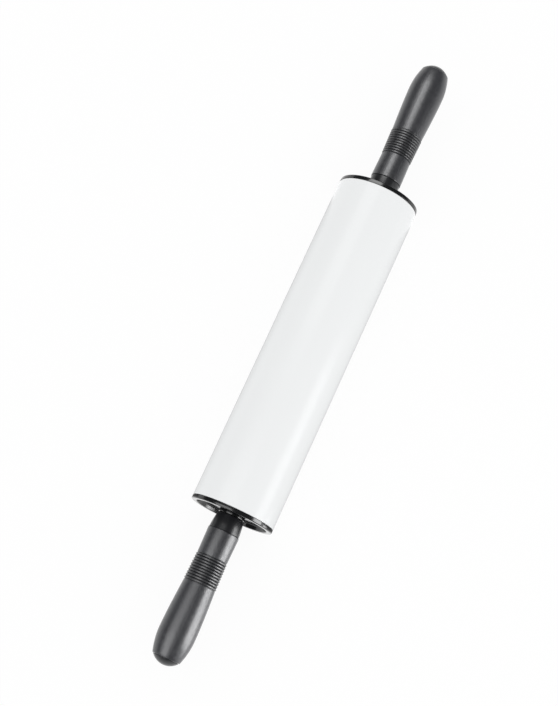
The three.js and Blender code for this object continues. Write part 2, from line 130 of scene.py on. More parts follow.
# The stage's lamps, by the first word of their settings
LAMPS = {
    "key": "key_softbox",
    "card": "near_card",
    "near": "near_softbox",
    "far": "far_softbox",
    "fill": "fill_lamp",
}


def length(name, description, default):
    """A property that holds a size, in metres"""
    return bpy.props.FloatProperty(
        name=name, description=description, default=default, min=0, unit="LENGTH", precision=5
    )


def number(name, description, default):
    """A property that holds a count"""
    return bpy.props.IntProperty(name=name, description=description, default=default, min=1)


def share(name, description, default):
    """A property that holds a share or a strength"""
    return bpy.props.FloatProperty(
        name=name, description=description, default=default, min=0, subtype="FACTOR"
    )


def angle(name, description, degrees):
    """A property that holds an angle"""
    return bpy.props.FloatProperty(
        name=name, description=description, default=math.radians(degrees), subtype="ANGLE"
    )


def power(name, description, default):
    """A property that holds a lamp's power"""
    return bpy.props.FloatProperty(
        name=name, description=description, default=default, min=0, unit="POWER"
    )


def place(name, description, default):
    """A property that holds a place, in metres"""
    return bpy.props.FloatVectorProperty(
        name=name, description=description, default=default, size=3, subtype="TRANSLATION"
    )


def colour(name, description, default):
    """A property that holds a colour, as linear red, green and blue"""
    return bpy.props.FloatVectorProperty(
        name=name, description=description, default=default, min=0, max=1, size=3, subtype="COLOR"
    )


class BarrelSizes(bpy.types.PropertyGroup):
    """Sizes of the coated tube"""

    radius: length("Radius", "Outside of the coating", BARREL_RADIUS)
    wall: length("Wall", "Thickness of the tube", 1.5 * MM)
    edge_round: length("Edge round", "Where the coating rolls over the tube's end", 0.45 * MM)


class CapSizes(bpy.types.PropertyGroup):
    """Sizes of an end cap"""

    rim_width: length("Rim width", "Flat ring round the dish", 3.7 * MM)
    edge_round: length("Edge round", "Rounding of the rim's outer edge", 0.7 * MM)
    dish_depth: length("Dish depth", "From the rim down to the dish's floor", 3.3 * MM)
    dish_draft: length("Dish draft", "Lean of the dish's wall", 0.4 * MM)
    dish_round: length("Dish round", "Fillet between the dish's wall and floor", 1.0 * MM)
    flange: length("Flange", "Thickness of the ring outside the tube", 2.9 * MM)
    skirt_gap: length("Skirt gap", "Between the skirt and the tube", 0.3 * MM)
    skirt_wall: length("Skirt wall", "Thickness of the skirt", 1.8 * MM)
    skirt_lead: length("Skirt lead", "Rounding that leads the skirt into the tube", 0.8 * MM)
    web: length("Web", "Thickness of the dish's floor", 2.4 * MM)
    web_fillet: length("Web fillet", "Fillets behind the dish", 0.8 * MM)
    seat_radius: length("Seat radius", "Bore that holds the bearing", 11.1 * MM)
    hub_wall: length("Hub wall", "Wall round the bearing", 2.4 * MM)
    hub_depth: length("Hub depth", "From the cap's face to the hub's inner end", 16.1 * MM)
    rib_count: number("Ribs", "Stiffening ribs between hub and skirt", 6)
    rib_depth: length("Rib depth", "Stiffening ribs behind the dish", 9 * MM)
    rib_thickness: length("Rib thickness", "Stiffening ribs behind the dish", 1.6 * MM)


class RingSizes(bpy.types.PropertyGroup):
    """Sizes of a dust ring"""

    radius: length("Radius", "Outside of the ring", 9.4 * MM)
    bore: length("Bore", "Radius of the hole round the collar's nose", 6.4 * MM)
    gap: length("Gap", "Between the ring and the cap's hole", 0.1 * MM)


class CollarSizes(bpy.types.PropertyGroup):
    """Sizes of a neck collar"""

    hub_radius: length("Hub radius", "At the cap", 9.4 * MM)
    seam_radius: length("Seam radius", "At the handle", 10.95 * MM)
    seam_chamfer: length("Seam chamfer", "Bevel at the seam with the handle", 0.2 * MM)
    seam_gap: length("Seam gap", "Between the collar and the handle", 0.1 * MM)
    body_length: length("Body length", "From the cap to the seam", 11.7 * MM)
    nose_radius: length("Nose radius", "Tube that reaches in to the bearing", 5.9 * MM)
    spigot_radius: length("Spigot radius", "Tube that the handle sits on", 7.5 * MM)
    hole_radius: length("Hole radius", "Bore for the axle", 4.2 * MM)


class HandleSizes(bpy.types.PropertyGroup):
    """Sizes of a handle"""

    neck_radius: length("Neck radius", "At the seam with the collar", 11.3 * MM)
    waist_radius: length("Waist radius", "Where the ribs begin", 10.9 * MM)
    neck_length: length("Neck length", "From the seam to the ribs", 19.1 * MM)
    rib_count: number("Ribs", "Raised rings round the grip", 10)
    rib_pitch: length("Rib pitch", "From one ring to the next", 1.95 * MM)
    rib_height: length("Rib height", "From valley to crest", 0.8 * MM)
    rib_crest: length("Rib crest", "Width of a ring's top", 0.9 * MM)
    rib_sink: length("Rib sink", "Valleys below the grip's own surface", 0.45 * MM)
    rib_round: length("Rib round", "Rounding of crests and valleys", 0.25 * MM)
    swell_start: length("Swell start", "Radius after the ribs", 11.48 * MM)
    swell_radius: length("Swell radius", "Where the grip is fullest", 13 * MM)
    swell_length: length("Swell length", "From the ribs to the fullest place", 35.7 * MM)
    swell_bend: share("Swell bend", "How far along the swell its curve bends", 2 / 3)
    tail_length: length("Tail length", "From the fullest place to the end", 17.2 * MM)
    tail_radius: length("Tail radius", "At the handle's end", 10.1 * MM)
    tail_round: length("Tail round", "Rounding of the handle's end", 0.3 * MM)
    pocket_radius: length("Pocket radius", "Pocket for the nut", 8.3 * MM)
    pocket_depth: length("Pocket depth", "From the handle's end", 24 * MM)
    recess_radius: length("Recess radius", "Recess for the collar's spigot", 7.7 * MM)
    recess_depth: length("Recess depth", "From the seam", 3.2 * MM)
    line_height: length("Parting line", "Height of the ridge where the mould halves met", 0.05 * MM)
    line_width: length("Parting line width", "Half the width of that ridge", 0.25 * MM)
    line_angle: angle("Parting angle", "Turn of that ridge round the left handle, from up", -12.5)


class PlugSizes(bpy.types.PropertyGroup):
    """Sizes of a handle's end plug"""

    radius: length("Radius", "Of the domed button", 9.3 * MM)
    edge: length("Edge", "Height of the button's straight edge", 0.3 * MM)
    dome: length("Dome", "Height of the dome above that edge", 4.4 * MM)
    skirt_radius: length("Skirt radius", "Tube that is pushed into the handle", 8.1 * MM)
    wall: length("Wall", "Thickness of the skirt", 1.4 * MM)


class AxleSizes(bpy.types.PropertyGroup):
    """Sizes of the axle and what is fastened to it"""

    radius: length("Radius", "Outside of the rod and its threads", 4 * MM)
    chamfer: length("Chamfer", "Bevel at the ends", 0.6 * MM)
    groove_depth: length("Groove depth", "Grooves for the circlips", 0.25 * MM)
    groove_gap: length("Groove gap", "Beside a circlip in its groove", 0.1 * MM)
    thread_pitch: length("Thread pitch", "From one turn of the thread to the next", 1.25 * MM)
    thread_depth: length("Thread depth", "From crest to root", 0.75 * MM)
    thread_crest: length("Thread crest", "Width of the thread's top", 0.16 * MM)
    thread_run: length("Thread run", "How far the thread begins before the washer", 2 * MM)
    clip_bore: length("Circlip bore", "Inside of the circlip", 3.85 * MM)
    clip_width: length("Circlip width", "From its inside to its outside", 1.7 * MM)
    clip_lug: length("Circlip lug", "Radius of the eye at each end", 1.1 * MM)
    clip_hole: length("Circlip hole", "Radius of the hole in each eye", 0.55 * MM)
    clip_opening: angle("Circlip opening", "Between the eyes, round the axle", 44)
    washer_radius: length("Washer radius", "Outside of the washer", 8 * MM)
    nut_flats: length("Nut flats", "Across the nut's flats", 13 * MM)
    nut_chamfer: length("Nut chamfer", "Bevel of the nut's corners", 0.7 * MM)
    nut_collar: length("Nut collar", "Radius of the collar that holds the locking ring", 5.6 * MM)
    nut_collar_height: length("Nut collar height", "Of that collar", 1.6 * MM)
    nut_crimp: length("Nut crimp", "How far the collar's top is rolled in", 0.5 * MM)


class BearingSizes(bpy.types.PropertyGroup):
    """Sizes of a ball bearing"""

    radius: length("Radius", "Outside of the outer race", 11 * MM)
    bore: length("Bore", "Radius of the inner race's hole", 4.1 * MM)
    ball_radius: length("Ball radius", "Of each ball", 1.9845 * MM)
    ball_count: number("Balls", "In each bearing", 7)
    ball_circle: length("Ball circle", "Radius of the circle of ball centres", 7.5 * MM)
    groove_gap: length("Groove gap", "Between a ball and its grooves", 0.2 * MM)
    outer_land: length("Outer land", "Outer race's land, out from the ball circle", 1.5 * MM)
    inner_land: length("Inner land", "Inner race's land, in from the ball circle", 1.4 * MM)
    shield_seat: length("Shield seat", "Radius of the step that holds a shield", 9.9 * MM)
    shield_seat_width: length("Shield seat width", "Depth of that step", 0.8 * MM)
    shield_radius: length("Shield radius", "Outside of a shield", 9.8 * MM)
    shield_bore: length("Shield bore", "Radius of a shield's hole", 6.45 * MM)
    shield_press: length("Shield press", "Depth of the ring pressed into a shield", 0.15 * MM)
    shield_land: length("Shield land", "Flat band on each side of that ring", 0.8375 * MM)
    shield_slope: length("Shield slope", "Width of that ring's sloping sides", 0.335 * MM)
    cage_wall: length("Cage wall", "Thickness of the cage", 1.5 * MM)
    pocket_gap: length("Pocket gap", "Between a ball and its pocket", 0.17 * MM)


class FinishColours(bpy.types.PropertyGroup):
    """Colours of the pin's materials"""

    coating: colour("Coating", "Pale non-stick coating", (0.855, 0.867, 0.870))
    gloss: colour("Caps", "Gloss black moulding", (0.006, 0.0065, 0.007))
    grip: colour("Handles", "Dark satin moulding", (0.027, 0.0282, 0.0335))
    # darker than the handles' moulding: painted shade on the collars and plugs
    smooth: colour("Collars", "Smoother moulding of collars and plugs", (0.016, 0.0167, 0.0188))
    steel: colour("Steel", "Axle, races and balls", (0.46, 0.47, 0.49))
    zinc: colour("Zinc", "Plated nut, washer and shields", (0.40, 0.42, 0.45))
    nylon: colour("Nylon", "Ball cage", (0.68, 0.64, 0.53))


class StageSettings(bpy.types.PropertyGroup):
    """Studio light, floor and camera"""

    floor: colour("Floor", "Pale floor", (0.94, 0.94, 0.94))
    floor_white: share("Floor white", "Share of plain white in the floor as it is seen", 0.93)
    floor_seen: share("Floor seen", "How bright the floor shows in reflections", 1.6)
    floor_shade: share("Floor shade", "Its brightness in reflections, in the barrel's shade", 0.25)
    shade_reach: length("Shade reach", "How far that shade reaches from the axle", 0.13)
    room: share("Room", "Even light from all round", 0.975)
    room_seen: share("Room seen", "How bright the room shows in reflections", 0.15)
    key_power: power("Key power", "Softbox at the pin's right, low down", 11.5)
    key_place: place("Key place", "Middle of that softbox", (-0.085, -0.85, 0.24))
    key_length: length("Key length", "Along the axle", 0.57)
    key_width: length("Key width", "Across it", 0.42)
    card_power: power("Card power", "Low softbox at the left handle's right", 0.0125)
    card_place: place("Card place", "Middle of that softbox", (-0.183, -0.10, 0.017))
    card_length: length("Card length", "Along the axle", 0.134)
    card_width: length("Card width", "Across it", 0.034)
    card_spread: angle("Card spread", "How widely the grid on that softbox lets light out", 48)
    near_power: power("Near power", "Softbox over the left handle", 36)
    near_place: place("Near place", "Middle of that softbox", (-1.13, 0.48, 1.12))
    near_length: length("Near length", "Along the axle", 2.16)
    near_width: length("Near width", "Across it", 1.06)
    far_power: power("Far power", "Softbox over the right handle", 17)
    far_place: place("Far place", "Middle of that softbox", (0.71, 0.36, 1.10))
    far_length: length("Far length", "Along the axle", 0.85)
    far_width: length("Far width", "Across it", 0.76)
    fill_power: power("Fill power", "Lamp at the right that shows in no reflection", 0.9)
    fill_place: place("Fill place", "Middle of that lamp", (-0.1, -1.0, 0.8))
    fill_length: length("Fill length", "Along the axle", 0.8)
    fill_width: length("Fill width", "Across it", 0.8)
    lens: bpy.props.FloatProperty(
        name="Lens", description="Focal length in millimetres", default=76.63, min=1, unit="CAMERA"
    )
    elevation: angle("Elevation", "How steeply the camera looks down", 76.27)
    heading: angle("Heading", "Direction that the camera faces, from along the axle", 24.32)
    distance: length("Distance", "From the camera to the pin's middle, along the view", 1.05148)
    aside: length("Aside", "How far the pin's middle lies right of the view's middle", 19.5 * MM)
    above: length("Above", "How far the pin's middle lies above the view's middle", 0.67 * MM)


class RollingPin(bpy.types.PropertyGroup):
    """All settings of the rolling pin"""

    barrel: bpy.props.PointerProperty(type=BarrelSizes)
    cap: bpy.props.PointerProperty(type=CapSizes)
    ring: bpy.props.PointerProperty(type=RingSizes)
    collar: bpy.props.PointerProperty(type=CollarSizes)
    handle: bpy.props.PointerProperty(type=HandleSizes)
    plug: bpy.props.PointerProperty(type=PlugSizes)
    axle: bpy.props.PointerProperty(type=AxleSizes)
    bearing: bpy.props.PointerProperty(type=BearingSizes)
    finish: bpy.props.PointerProperty(type=FinishColours)
    stage: bpy.props.PointerProperty(type=StageSettings)


class Value:
    """A shader socket that takes part in Python arithmetic: each operation adds a Math node"""

    def __init__(self, shader, socket):
        self.shader = shader
        self.socket = socket

    def math(self, operation, *operands):
        inputs = dict(enumerate(operands))
        return self.shader.node("ShaderNodeMath", {"operation": operation}, inputs)

    def beside(self, name):
        """Another output of the same node"""
        return Value(self.shader, self.socket.node.outputs[name])

    def __add__(self, other):
        return self.math("ADD", self, other)

    def __radd__(self, other):
        return self.math("ADD", other, self)

    def __sub__(self, other):
        return self.math("SUBTRACT", self, other)

    def __rsub__(self, other):
        return self.math("SUBTRACT", other, self)

    def __mul__(self, other):
        return self.math("MULTIPLY", self, other)

    def __rmul__(self, other):
        return self.math("MULTIPLY", other, self)

    def __pow__(self, other):
        return self.math("POWER", self, other)

    def __rpow__(self, other):
        return self.math("POWER", other, self)

    def __abs__(self):
        return self.math("ABSOLUTE", self)

    def larger(self, other):
        return self.math("MAXIMUM", self, other)

    def above(self, level):
        return self.math("GREATER_THAN", self, level)

    def below(self, level):
        return self.math("LESS_THAN", self, level)


class Shader:
    """A node tree in the making"""

    def __init__(self, tree):
        self.tree = tree
        self.tree.nodes.clear()

    def node(self, kind, settings, inputs, output=0):
        """Adds a node, sets it up, fills its sockets and gives one of its outputs"""
        made = self.tree.nodes.new(kind)
        for name, setting in settings.items():
            setattr(made, name, setting)
        for name, value in inputs.items():
            socket = self.find(made.inputs, name)
            if isinstance(value, Value):
                self.tree.links.new(value.socket, socket)
            else:
                socket.default_value = value
        return Value(self, self.find(made.outputs, output)) if made.outputs else None

    @staticmethod
    def find(sockets, name):
        """A socket by its number or its name, among those in use"""
        used = [socket for socket in sockets if socket.enabled]
        if isinstance(name, int):
            return used[name]
        return next(socket for socket in used if socket.name == name)

    def places(self):
        """Where a point lies in the pin's own frame"""
        return self.node("ShaderNodeTexCoord", {}, {}, "Object")

    def noise(self, vector, scale, detail=2.0):
        """A cloudy value about one half"""
        inputs = {"Vector": vector, "Scale": scale, "Detail": detail}
        return self.node("ShaderNodeTexNoise", {}, inputs, "Fac")

    def streaks(self, scale):
        """A cloudy value that is finer along some axes than along others"""
        stretched = self.node("ShaderNodeMapping", {}, {"Vector": self.places(), "Scale": scale})
        return self.noise(stretched, scale=1.0)

    def rise(self, value, start, end):
        """A value that rises smoothly from 0 to 1 between two levels"""
        inputs = {"Value": value, "From Min": start, "From Max": end}
        return self.node("ShaderNodeMapRange", {"interpolation_type": "SMOOTHSTEP"}, inputs)

    def mixed(self, share, first, second):
        """A colour between two"""
        inputs = {"Factor": share, "A": first, "B": second}
        return self.node("ShaderNodeMix", {"data_type": "RGBA"}, inputs, "Result")

    def mottled(self, share, tone, dark, light):
        """A colour that wanders between a darker and a lighter shade of itself"""
        return self.mixed(share, shade(tone, dark), shade(tone, light))

    def bump(self, height, strength, distance):
        """The surface's direction, tilted by a height"""
        inputs = {"Height": height, "Strength": strength, "Distance": distance}
        return self.node("ShaderNodeBump", {}, inputs)

    def principled(self, **inputs):
        """A principled surface"""
        named = {name.replace("_", " "): value for name, value in inputs.items()}
        return self.node("ShaderNodeBsdfPrincipled", {}, named)

    def end_in(self, surface):
        """Ends the tree in a surface"""
        self.node("ShaderNodeOutputMaterial", {}, {"Surface": surface})

    def surface(self, **inputs):
        """Ends the tree in one principled surface"""
        self.end_in(self.principled(**inputs))


def shade(tone, factor=1.0):
    """A colour made lighter or darker, with full opacity"""
    return (*(min(1.0, part * factor) for part in tone), 1.0)


def grey(level):
    """A plain grey, or a white brighter than 1"""
    return (level, level, level, 1.0)


def coating_finish(shader, settings):
    """Pale sprayed coating: satin, with a faint orange peel and slightly uneven gloss"""
    tone = settings.finish.coating
    places = shader.places()
    cloud = shader.noise(places, scale=14.0, detail=3.0)
    peel = shader.noise(places, scale=620.0, detail=1.0)
    grain = shader.noise(places, scale=2600.0)
    shader.surface(
        Base_Color=shader.mottled(cloud, tone, dark=0.985, light=1.012),
        Roughness=0.20 + 0.05 * cloud + 0.04 * grain,
        Specular_IOR_Level=0.05,
        Normal=shader.bump(peel + 0.3 * grain, strength=0.10, distance=0.03 * MM),
    )


def gloss_finish(shader, settings):
    """Polished black moulding with hairline scuffs and a little dust"""
    tone = settings.finish.gloss
    places = shader.places()
    cloud = shader.noise(places, scale=60.0, detail=3.0)
    scuffs = shader.streaks(scale=(2400.0, 130.0, 130.0))
    dust = shader.rise(shader.noise(places, scale=1500.0, detail=1.0), start=0.68, end=0.80)
    shader.surface(
        Base_Color=shader.mottled(dust, tone, dark=1.0, light=3.0),
        Roughness=0.12 + 0.04 * cloud + 0.06 * scuffs + 0.1 * dust,
        Specular_IOR_Level=0.38,
        Normal=shader.bump(cloud + 0.2 * scuffs, strength=0.05, distance=0.05 * MM),
    )


def grip_finish(shader, settings):
    """Dark satin moulding with fine grain and cloudy colour; the ribs carry painted shade: their
    colour is darkened, and the grooves between them are painted dark and dull
    """
    tone = settings.finish.grip
    sizes = settings.handle
    places = shader.places()
    cloud = shader.noise(places, scale=55.0, detail=3.0)
    grain = shader.noise(places, scale=700.0, detail=3.0)
    pits = shader.noise(places, scale=1900.0, detail=1.0)
    streaks = shader.streaks(scale=(40.0, 900.0, 900.0))
    along = shader.node("ShaderNodeSeparateXYZ", {}, {"Vector": places}, "X")
    outward = (along.beside("Y") ** 2 + (along.beside("Z") - AXLE_HEIGHT) ** 2) ** 0.5
    ribs_start = HANDLE_START + sizes.neck_length
    ribs_end = ribs_start + sizes.rib_count * sizes.rib_pitch
    in_ribs = abs(along).above(ribs_start) * abs(along).below(ribs_end)
    slope = (sizes.swell_start - sizes.waist_radius) / (ribs_end - ribs_start)
    height = outward - sizes.waist_radius - slope * (abs(along) - ribs_start)
    crest = sizes.rib_height - sizes.rib_sink - sizes.rib_round
    # where the grooves' painted shade lies: from their floor up to the crests' rounding
    valley = in_ribs * (1.0 - shader.rise(height, start=-sizes.rib_sink, end=crest))
    patchy = 0.3 * cloud + 0.6 * grain + 0.1 * streaks
    plain = shader.mottled(patchy, tone, dark=0.6, light=1.4)
    # across the ribbed band the colour is darkened towards three tenths of the tone: painted shade
    grip = shader.principled(
        Base_Color=shader.mixed(0.35 * in_ribs, plain, shade(tone, 0.3)),
        Roughness=0.20 + 0.30 * grain + 0.05 * cloud,
        Specular_IOR_Level=0.55,
        Normal=shader.bump(grain + 0.5 * pits, strength=0.35, distance=0.12 * MM),
    )
    # the grooves get a dark, dull, barely reflecting surface: painted shade between the ribs
    groove = shader.principled(
        Base_Color=shade(tone, 0.1), Roughness=0.8, Specular_IOR_Level=0.05
    )
    shader.end_in(shader.node("ShaderNodeMixShader", {}, {0: valley, 1: grip, 2: groove}))


def smooth_finish(shader, settings):
    """The grip's dark moulding in a smoother skin, with faint rings from the mould's turning; its
    colour is darker than the grip's, as painted shade
    """
    tone = settings.finish.smooth
    places = shader.places()
    cloud = shader.noise(places, scale=70.0, detail=3.0)
    rings = shader.streaks(scale=(3200.0, 50.0, 50.0))
    skin = shader.noise(places, scale=2600.0)
    shader.surface(
        Base_Color=shader.mottled(cloud, tone, dark=0.8, light=1.2),
        Roughness=0.22 + 0.06 * cloud + 0.06 * rings + 0.04 * skin,
        Specular_IOR_Level=0.25,
        Normal=shader.bump(rings + 0.6 * skin, strength=0.1, distance=0.04 * MM),
    )


def steel_finish(shader, settings):
    """Ground bright steel with fine marks round the axle"""
    tone = settings.finish.steel
    marks = shader.streaks(scale=(9000.0, 60.0, 60.0))
    cloud = shader.noise(shader.places(), scale=180.0, detail=3.0)
    shader.surface(
        Base_Color=shader.mottled(cloud, tone, dark=0.88, light=1.12),
        Metallic=1.0,
        Roughness=0.20 + 0.12 * marks + 0.06 * cloud,
        Normal=shader.bump(marks, strength=0.08, distance=0.02 * MM),
    )


def zinc_finish(shader, settings):
    """Bright zinc plate with a mottled bloom"""
    tone = settings.finish.zinc
    places = shader.places()
    bloom = shader.noise(places, scale=420.0, detail=4.0)
    spots = shader.node("ShaderNodeTexVoronoi", {}, {"Vector": places, "Scale": 900.0}, "Distance")
    shader.surface(
        Base_Color=shader.mottled(bloom, tone, dark=0.82, light=1.18),
        Metallic=1.0,
        Roughness=0.28 + 0.16 * bloom + 0.05 * spots,
        Normal=shader.bump(bloom + spots, strength=0.06, distance=0.03 * MM),
    )


def nylon_finish(shader, settings):
    """Natural nylon, slightly cloudy, with a moulded skin"""
    tone = settings.finish.nylon
    places = shader.places()
    cloud = shader.noise(places, scale=300.0, detail=3.0)
    skin = shader.noise(places, scale=2400.0)
    shader.surface(
        Base_Color=shader.mottled(cloud, tone, dark=0.9, light=1.06),
        Roughness=0.42 + 0.14 * skin,
        Subsurface_Weight=0.1,
        Subsurface_Scale=0.8 * MM,
        Normal=shader.bump(skin, strength=0.1, distance=0.03 * MM),
    )


def floor_finish(shader, settings):
    """Pale floor that reads as white to the eye and in reflections, and keeps a soft shadow"""
    stage = settings.stage
    places = shader.places()
    cloud = shader.noise(places, scale=3.0)
    tinted = shader.mottled(cloud, stage.floor, dark=0.99, light=1.01)
    lit = shader.node("ShaderNodeBsdfDiffuse", {}, {"Color": tinted})
    along = shader.node("ShaderNodeSeparateXYZ", {}, {"Vector": places}, "X")
    past_end = shader.rise(abs(along), CAP_FACE + SHADE_FADE_START, CAP_FACE + SHADE_FADE_END)
    side_start = (1 - SHADE_SOFTNESS) * stage.shade_reach
    side_end = (1 + SHADE_SOFTNESS) * stage.shade_reach
    past_side = shader.rise(abs(along.beside("Y")), side_start, side_end)
    shaded = (1.0 - past_end) * (1.0 - past_side)
    reflected = shader.mixed(shaded, grey(stage.floor_seen), grey(stage.floor_shade))
    camera = shader.node("ShaderNodeLightPath", {}, {}, "Is Camera Ray")
    glossy = camera.beside("Is Glossy Ray")
    seen = camera.larger(glossy).larger(camera.beside("Is Transmission Ray"))
    glow = shader.mixed(glossy, grey(1.0), reflected)
    white = shader.node("ShaderNodeEmission", {}, {"Color": glow})
    white_share = stage.floor_white * seen
    shader.end_in(shader.node("ShaderNodeMixShader", {}, {0: white_share, 1: lit, 2: white}))


# Each finish's material, and what fills in its nodes
FINISHES = {
    "coating": ("pale_coating", coating_finish),
    "gloss": ("gloss_black_moulding", gloss_finish),
    "grip": ("dark_grip_moulding", grip_finish),
    "smooth": ("smooth_dark_moulding", smooth_finish),
    "steel": ("ground_steel", steel_finish),
    "zinc": ("zinc_plate", zinc_finish),
    "nylon": ("natural_nylon", nylon_finish),
    "floor": ("pale_floor", floor_finish),
}


def finish_for(kind):
    """The material of a finish, made when it is first asked for"""
    name, fill_in = FINISHES[kind]
    material = bpy.data.materials.get(name)
    if material is None:
        material = bpy.data.materials.new(name)
        material.use_nodes = True
        fill_in(Shader(material.node_tree), bpy.context.scene.rolling_pin)
    return material


class Corner(NamedTuple):
    """A point of a turned profile: its radius, its place along the axle, and its rounding"""

    radius: float
    along: float
    rounding: float = 0.0

    def place(self):
        return Vector((self.along, 0, AXLE_HEIGHT + self.radius))


def sweep(start, bend, end):
    """Corners along a smooth stretch that leaves and arrives along lines through the bend"""
    corners = []
    for k in range(SWEEP_STEPS + 1):
        t = k / SWEEP_STEPS
        weights = ((1 - t) ** 2, 2 * t * (1 - t), t**2)
        ends = (start, bend, end)
        radius = sum(weight * corner.radius for weight, corner in zip(weights, ends))
        along = sum(weight * corner.along for weight, corner in zip(weights, ends))
        corners.append(Corner(radius, along))
    return corners


def arc(centre, radius, start, end):
    """Corners along an arc round a centre: an angle of 0 points straight out from the axle"""
    corners = []
    for k in range(SWEEP_STEPS + 1):
        turn = start + (end - start) * k / SWEEP_STEPS
        outward = centre.radius + radius * math.cos(turn)
        corners.append(Corner(outward, centre.along + radius * math.sin(turn)))
    return corners


def ring_section(inside, outside, start, end, roundings=4 * (BROKEN_EDGE,)):
    """The corners of a plain ring, from its bore's start over its outside to its bore's end"""
    places = ((inside, start), (outside, start), (outside, end), (inside, end))
    return [Corner(*place, rounding) for place, rounding in zip(places, roundings)]


def pick(test):
    """Selects the points of the mesh in edit mode whose places pass a test"""
    bpy.ops.mesh.select_all(action="DESELECT")
    piece = bpy.context.edit_object
    shape = bmesh.from_edit_mesh(piece.data)
    for vertex in shape.verts:
        vertex.select = test(piece.matrix_world @ vertex.co)
    if not any(vertex.select for vertex in shape.verts):
        raise ValueError(f"{piece.name} has no point at the place looked for")
    shape.select_flush(True)
    bmesh.update_edit_mesh(piece.data)


def pick_near(*places):
    """Selects the points that lie at the given places"""
    pick(lambda point: any((point - place).length < WELD for place in places))


def named(name):
    """The object that an operator has just made, under its own name"""
    piece = bpy.context.object
    piece.name = name
    piece.data.name = name
    return piece


def draw_profile(name, corners, closed=True):
    """Draws a profile as a chain of edges above the axle and rounds its marked corners"""
    bpy.ops.object.select_all(action="DESELECT")
    bpy.ops.mesh.primitive_plane_add(size=MM, location=corners[0].place())
    piece = named(name)
    bpy.ops.object.mode_set(mode="EDIT")
    bpy.ops.mesh.merge(type="CENTER")
    for start, end in zip(corners, corners[1:]):
        step = end.place() - start.place()
        bpy.ops.mesh.extrude_region_move(TRANSFORM_OT_translate={"value": step})
    if closed:
        pick_near(corners[0].place(), corners[-1].place())
        bpy.ops.mesh.edge_face_add()
    for corner in corners:
        if corner.rounding:
            pick_near(corner.place())
            bpy.ops.mesh.bevel(offset=corner.rounding, segments=ROUND_STEPS, affect="VERTICES")
    return piece


def clean_up():
    """Welds the points of the mesh in edit mode that meet, and turns its faces outward"""
    bpy.ops.mesh.select_all(action="SELECT")
    bpy.ops.mesh.remove_doubles(threshold=WELD)
    bpy.ops.mesh.normals_make_consistent(inside=False)


def turned(name, corners, steps, closed=True):
    """A piece turned about the axle, left in edit mode"""
    piece = draw_profile(name, corners, closed)
    bpy.ops.mesh.select_all(action="SELECT")
    bpy.ops.mesh.spin(steps=steps, angle=2 * math.pi, center=AXLE_CENTRE, axis=(1, 0, 0))
    clean_up()
    return piece


def repeated_round(count):
    """Copies what is selected in edit mode round the axle, at even steps"""
    turn = 2 * math.pi / count
    for _ in range(count - 1):
        bpy.ops.mesh.duplicate()
        bpy.ops.transform.rotate(value=turn, orient_axis="X", center_override=AXLE_CENTRE)
    clean_up()


def select_only(piece):
    """Makes one piece the selected and active one"""
    bpy.ops.object.select_all(action="DESELECT")
    piece.select_set(True)
    bpy.context.view_layer.objects.active = piece


def done(piece):
    """Leaves edit mode, puts the piece's place into its mesh and shades it smooth"""
    if piece.mode == "EDIT":
        bpy.ops.object.mode_set(mode="OBJECT")
    select_only(piece)
    bpy.ops.object.transform_apply(location=True, rotation=True, scale=True)
    bpy.ops.object.shade_smooth_by_angle(angle=SMOOTH_ANGLE)
    return piece


def apply_modifier(piece, kind, settings):
    """Adds a modifier to a piece, sets it up and makes it part of the mesh"""
    select_only(piece)
    modifier = piece.modifiers.new(kind.lower(), kind)
    for name, setting in settings.items():
        setattr(modifier, name, setting)
    bpy.ops.object.modifier_apply(modifier=modifier.name)
    if not piece.data.polygons:
        raise RuntimeError(f"{piece.name} is empty after {kind}")


def combine(piece, other, operation):
    """Joins another closed shape to a piece, cuts it out, or keeps only what both share"""
    settings = {"operation": operation, "solver": "EXACT", "object": other}
    apply_modifier(piece, "BOOLEAN", settings)
    bpy.data.meshes.remove(other.data)


def rod(name, sides, radius, depth, middle, lie=ALONG_AXLE):
    """A round or many-sided rod, left in edit mode, to be joined to a piece or cut out"""
    bpy.ops.object.select_all(action="DESELECT")
    bpy.ops.mesh.primitive_cylinder_add(
        vertices=sides, radius=radius, depth=depth, location=middle, rotation=lie
    )
    tool = named(name)
    bpy.ops.object.mode_set(mode="EDIT")
    return tool


def rods(radius, depth, places):
    """Round rods along the axle's direction as one shape, left in edit mode"""
    tool = rod("rods", TOOL_STEPS, radius, depth, places[0])
    for start, end in zip(places, places[1:]):
        bpy.ops.mesh.duplicate()
        bpy.ops.transform.translate(value=end - start)
    return tool


def block(middle, size):
    """A plain block, left in edit mode, to be joined to a piece or cut out"""
    bpy.ops.object.select_all(action="DESELECT")
    bpy.ops.mesh.primitive_cube_add(size=1, location=middle)
    tool = named("block")
    bpy.ops.object.mode_set(mode="EDIT")
    bpy.ops.transform.resize(value=size, center_override=middle)
    return tool


def copy_of(piece, name):
    """A copy of a piece, with a mesh of its own"""
    select_only(piece)
    bpy.ops.object.duplicate()
    return named(name)


def turned_round(piece, name):
    """A copy of a piece, turned half round to the pin's other end"""
    copy = copy_of(piece, name)
    bpy.ops.transform.rotate(value=math.pi, orient_axis="Z", center_override=(0, 0, 0))
    bpy.ops.object.transform_apply(location=True, rotation=True, scale=True)
    return copy


def fit(piece, node, finish):
    """Lets a modelled piece stand for its node, on the same body, in the finish it is given"""
    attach(piece, BODY_OF[node])
    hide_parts(node)
    piece.data.materials.clear()
    piece.data.materials.append(finish_for(finish))


def fit_pair(right, name, node, finish):
    """Fits a piece at the right end and its copy at the left end"""
    left = turned_round(right, f"{name}_left")
    fit(right, f"{node}_right", finish)
    fit(left, f"{node}_left", finish)


def turned_pair(name, node, corners, steps, finish, closed=True):
    """Turns a piece that needs no further shaping, and fits it at both ends"""
    fit_pair(done(turned(f"{name}_right", corners, steps, closed)), name, node, finish)


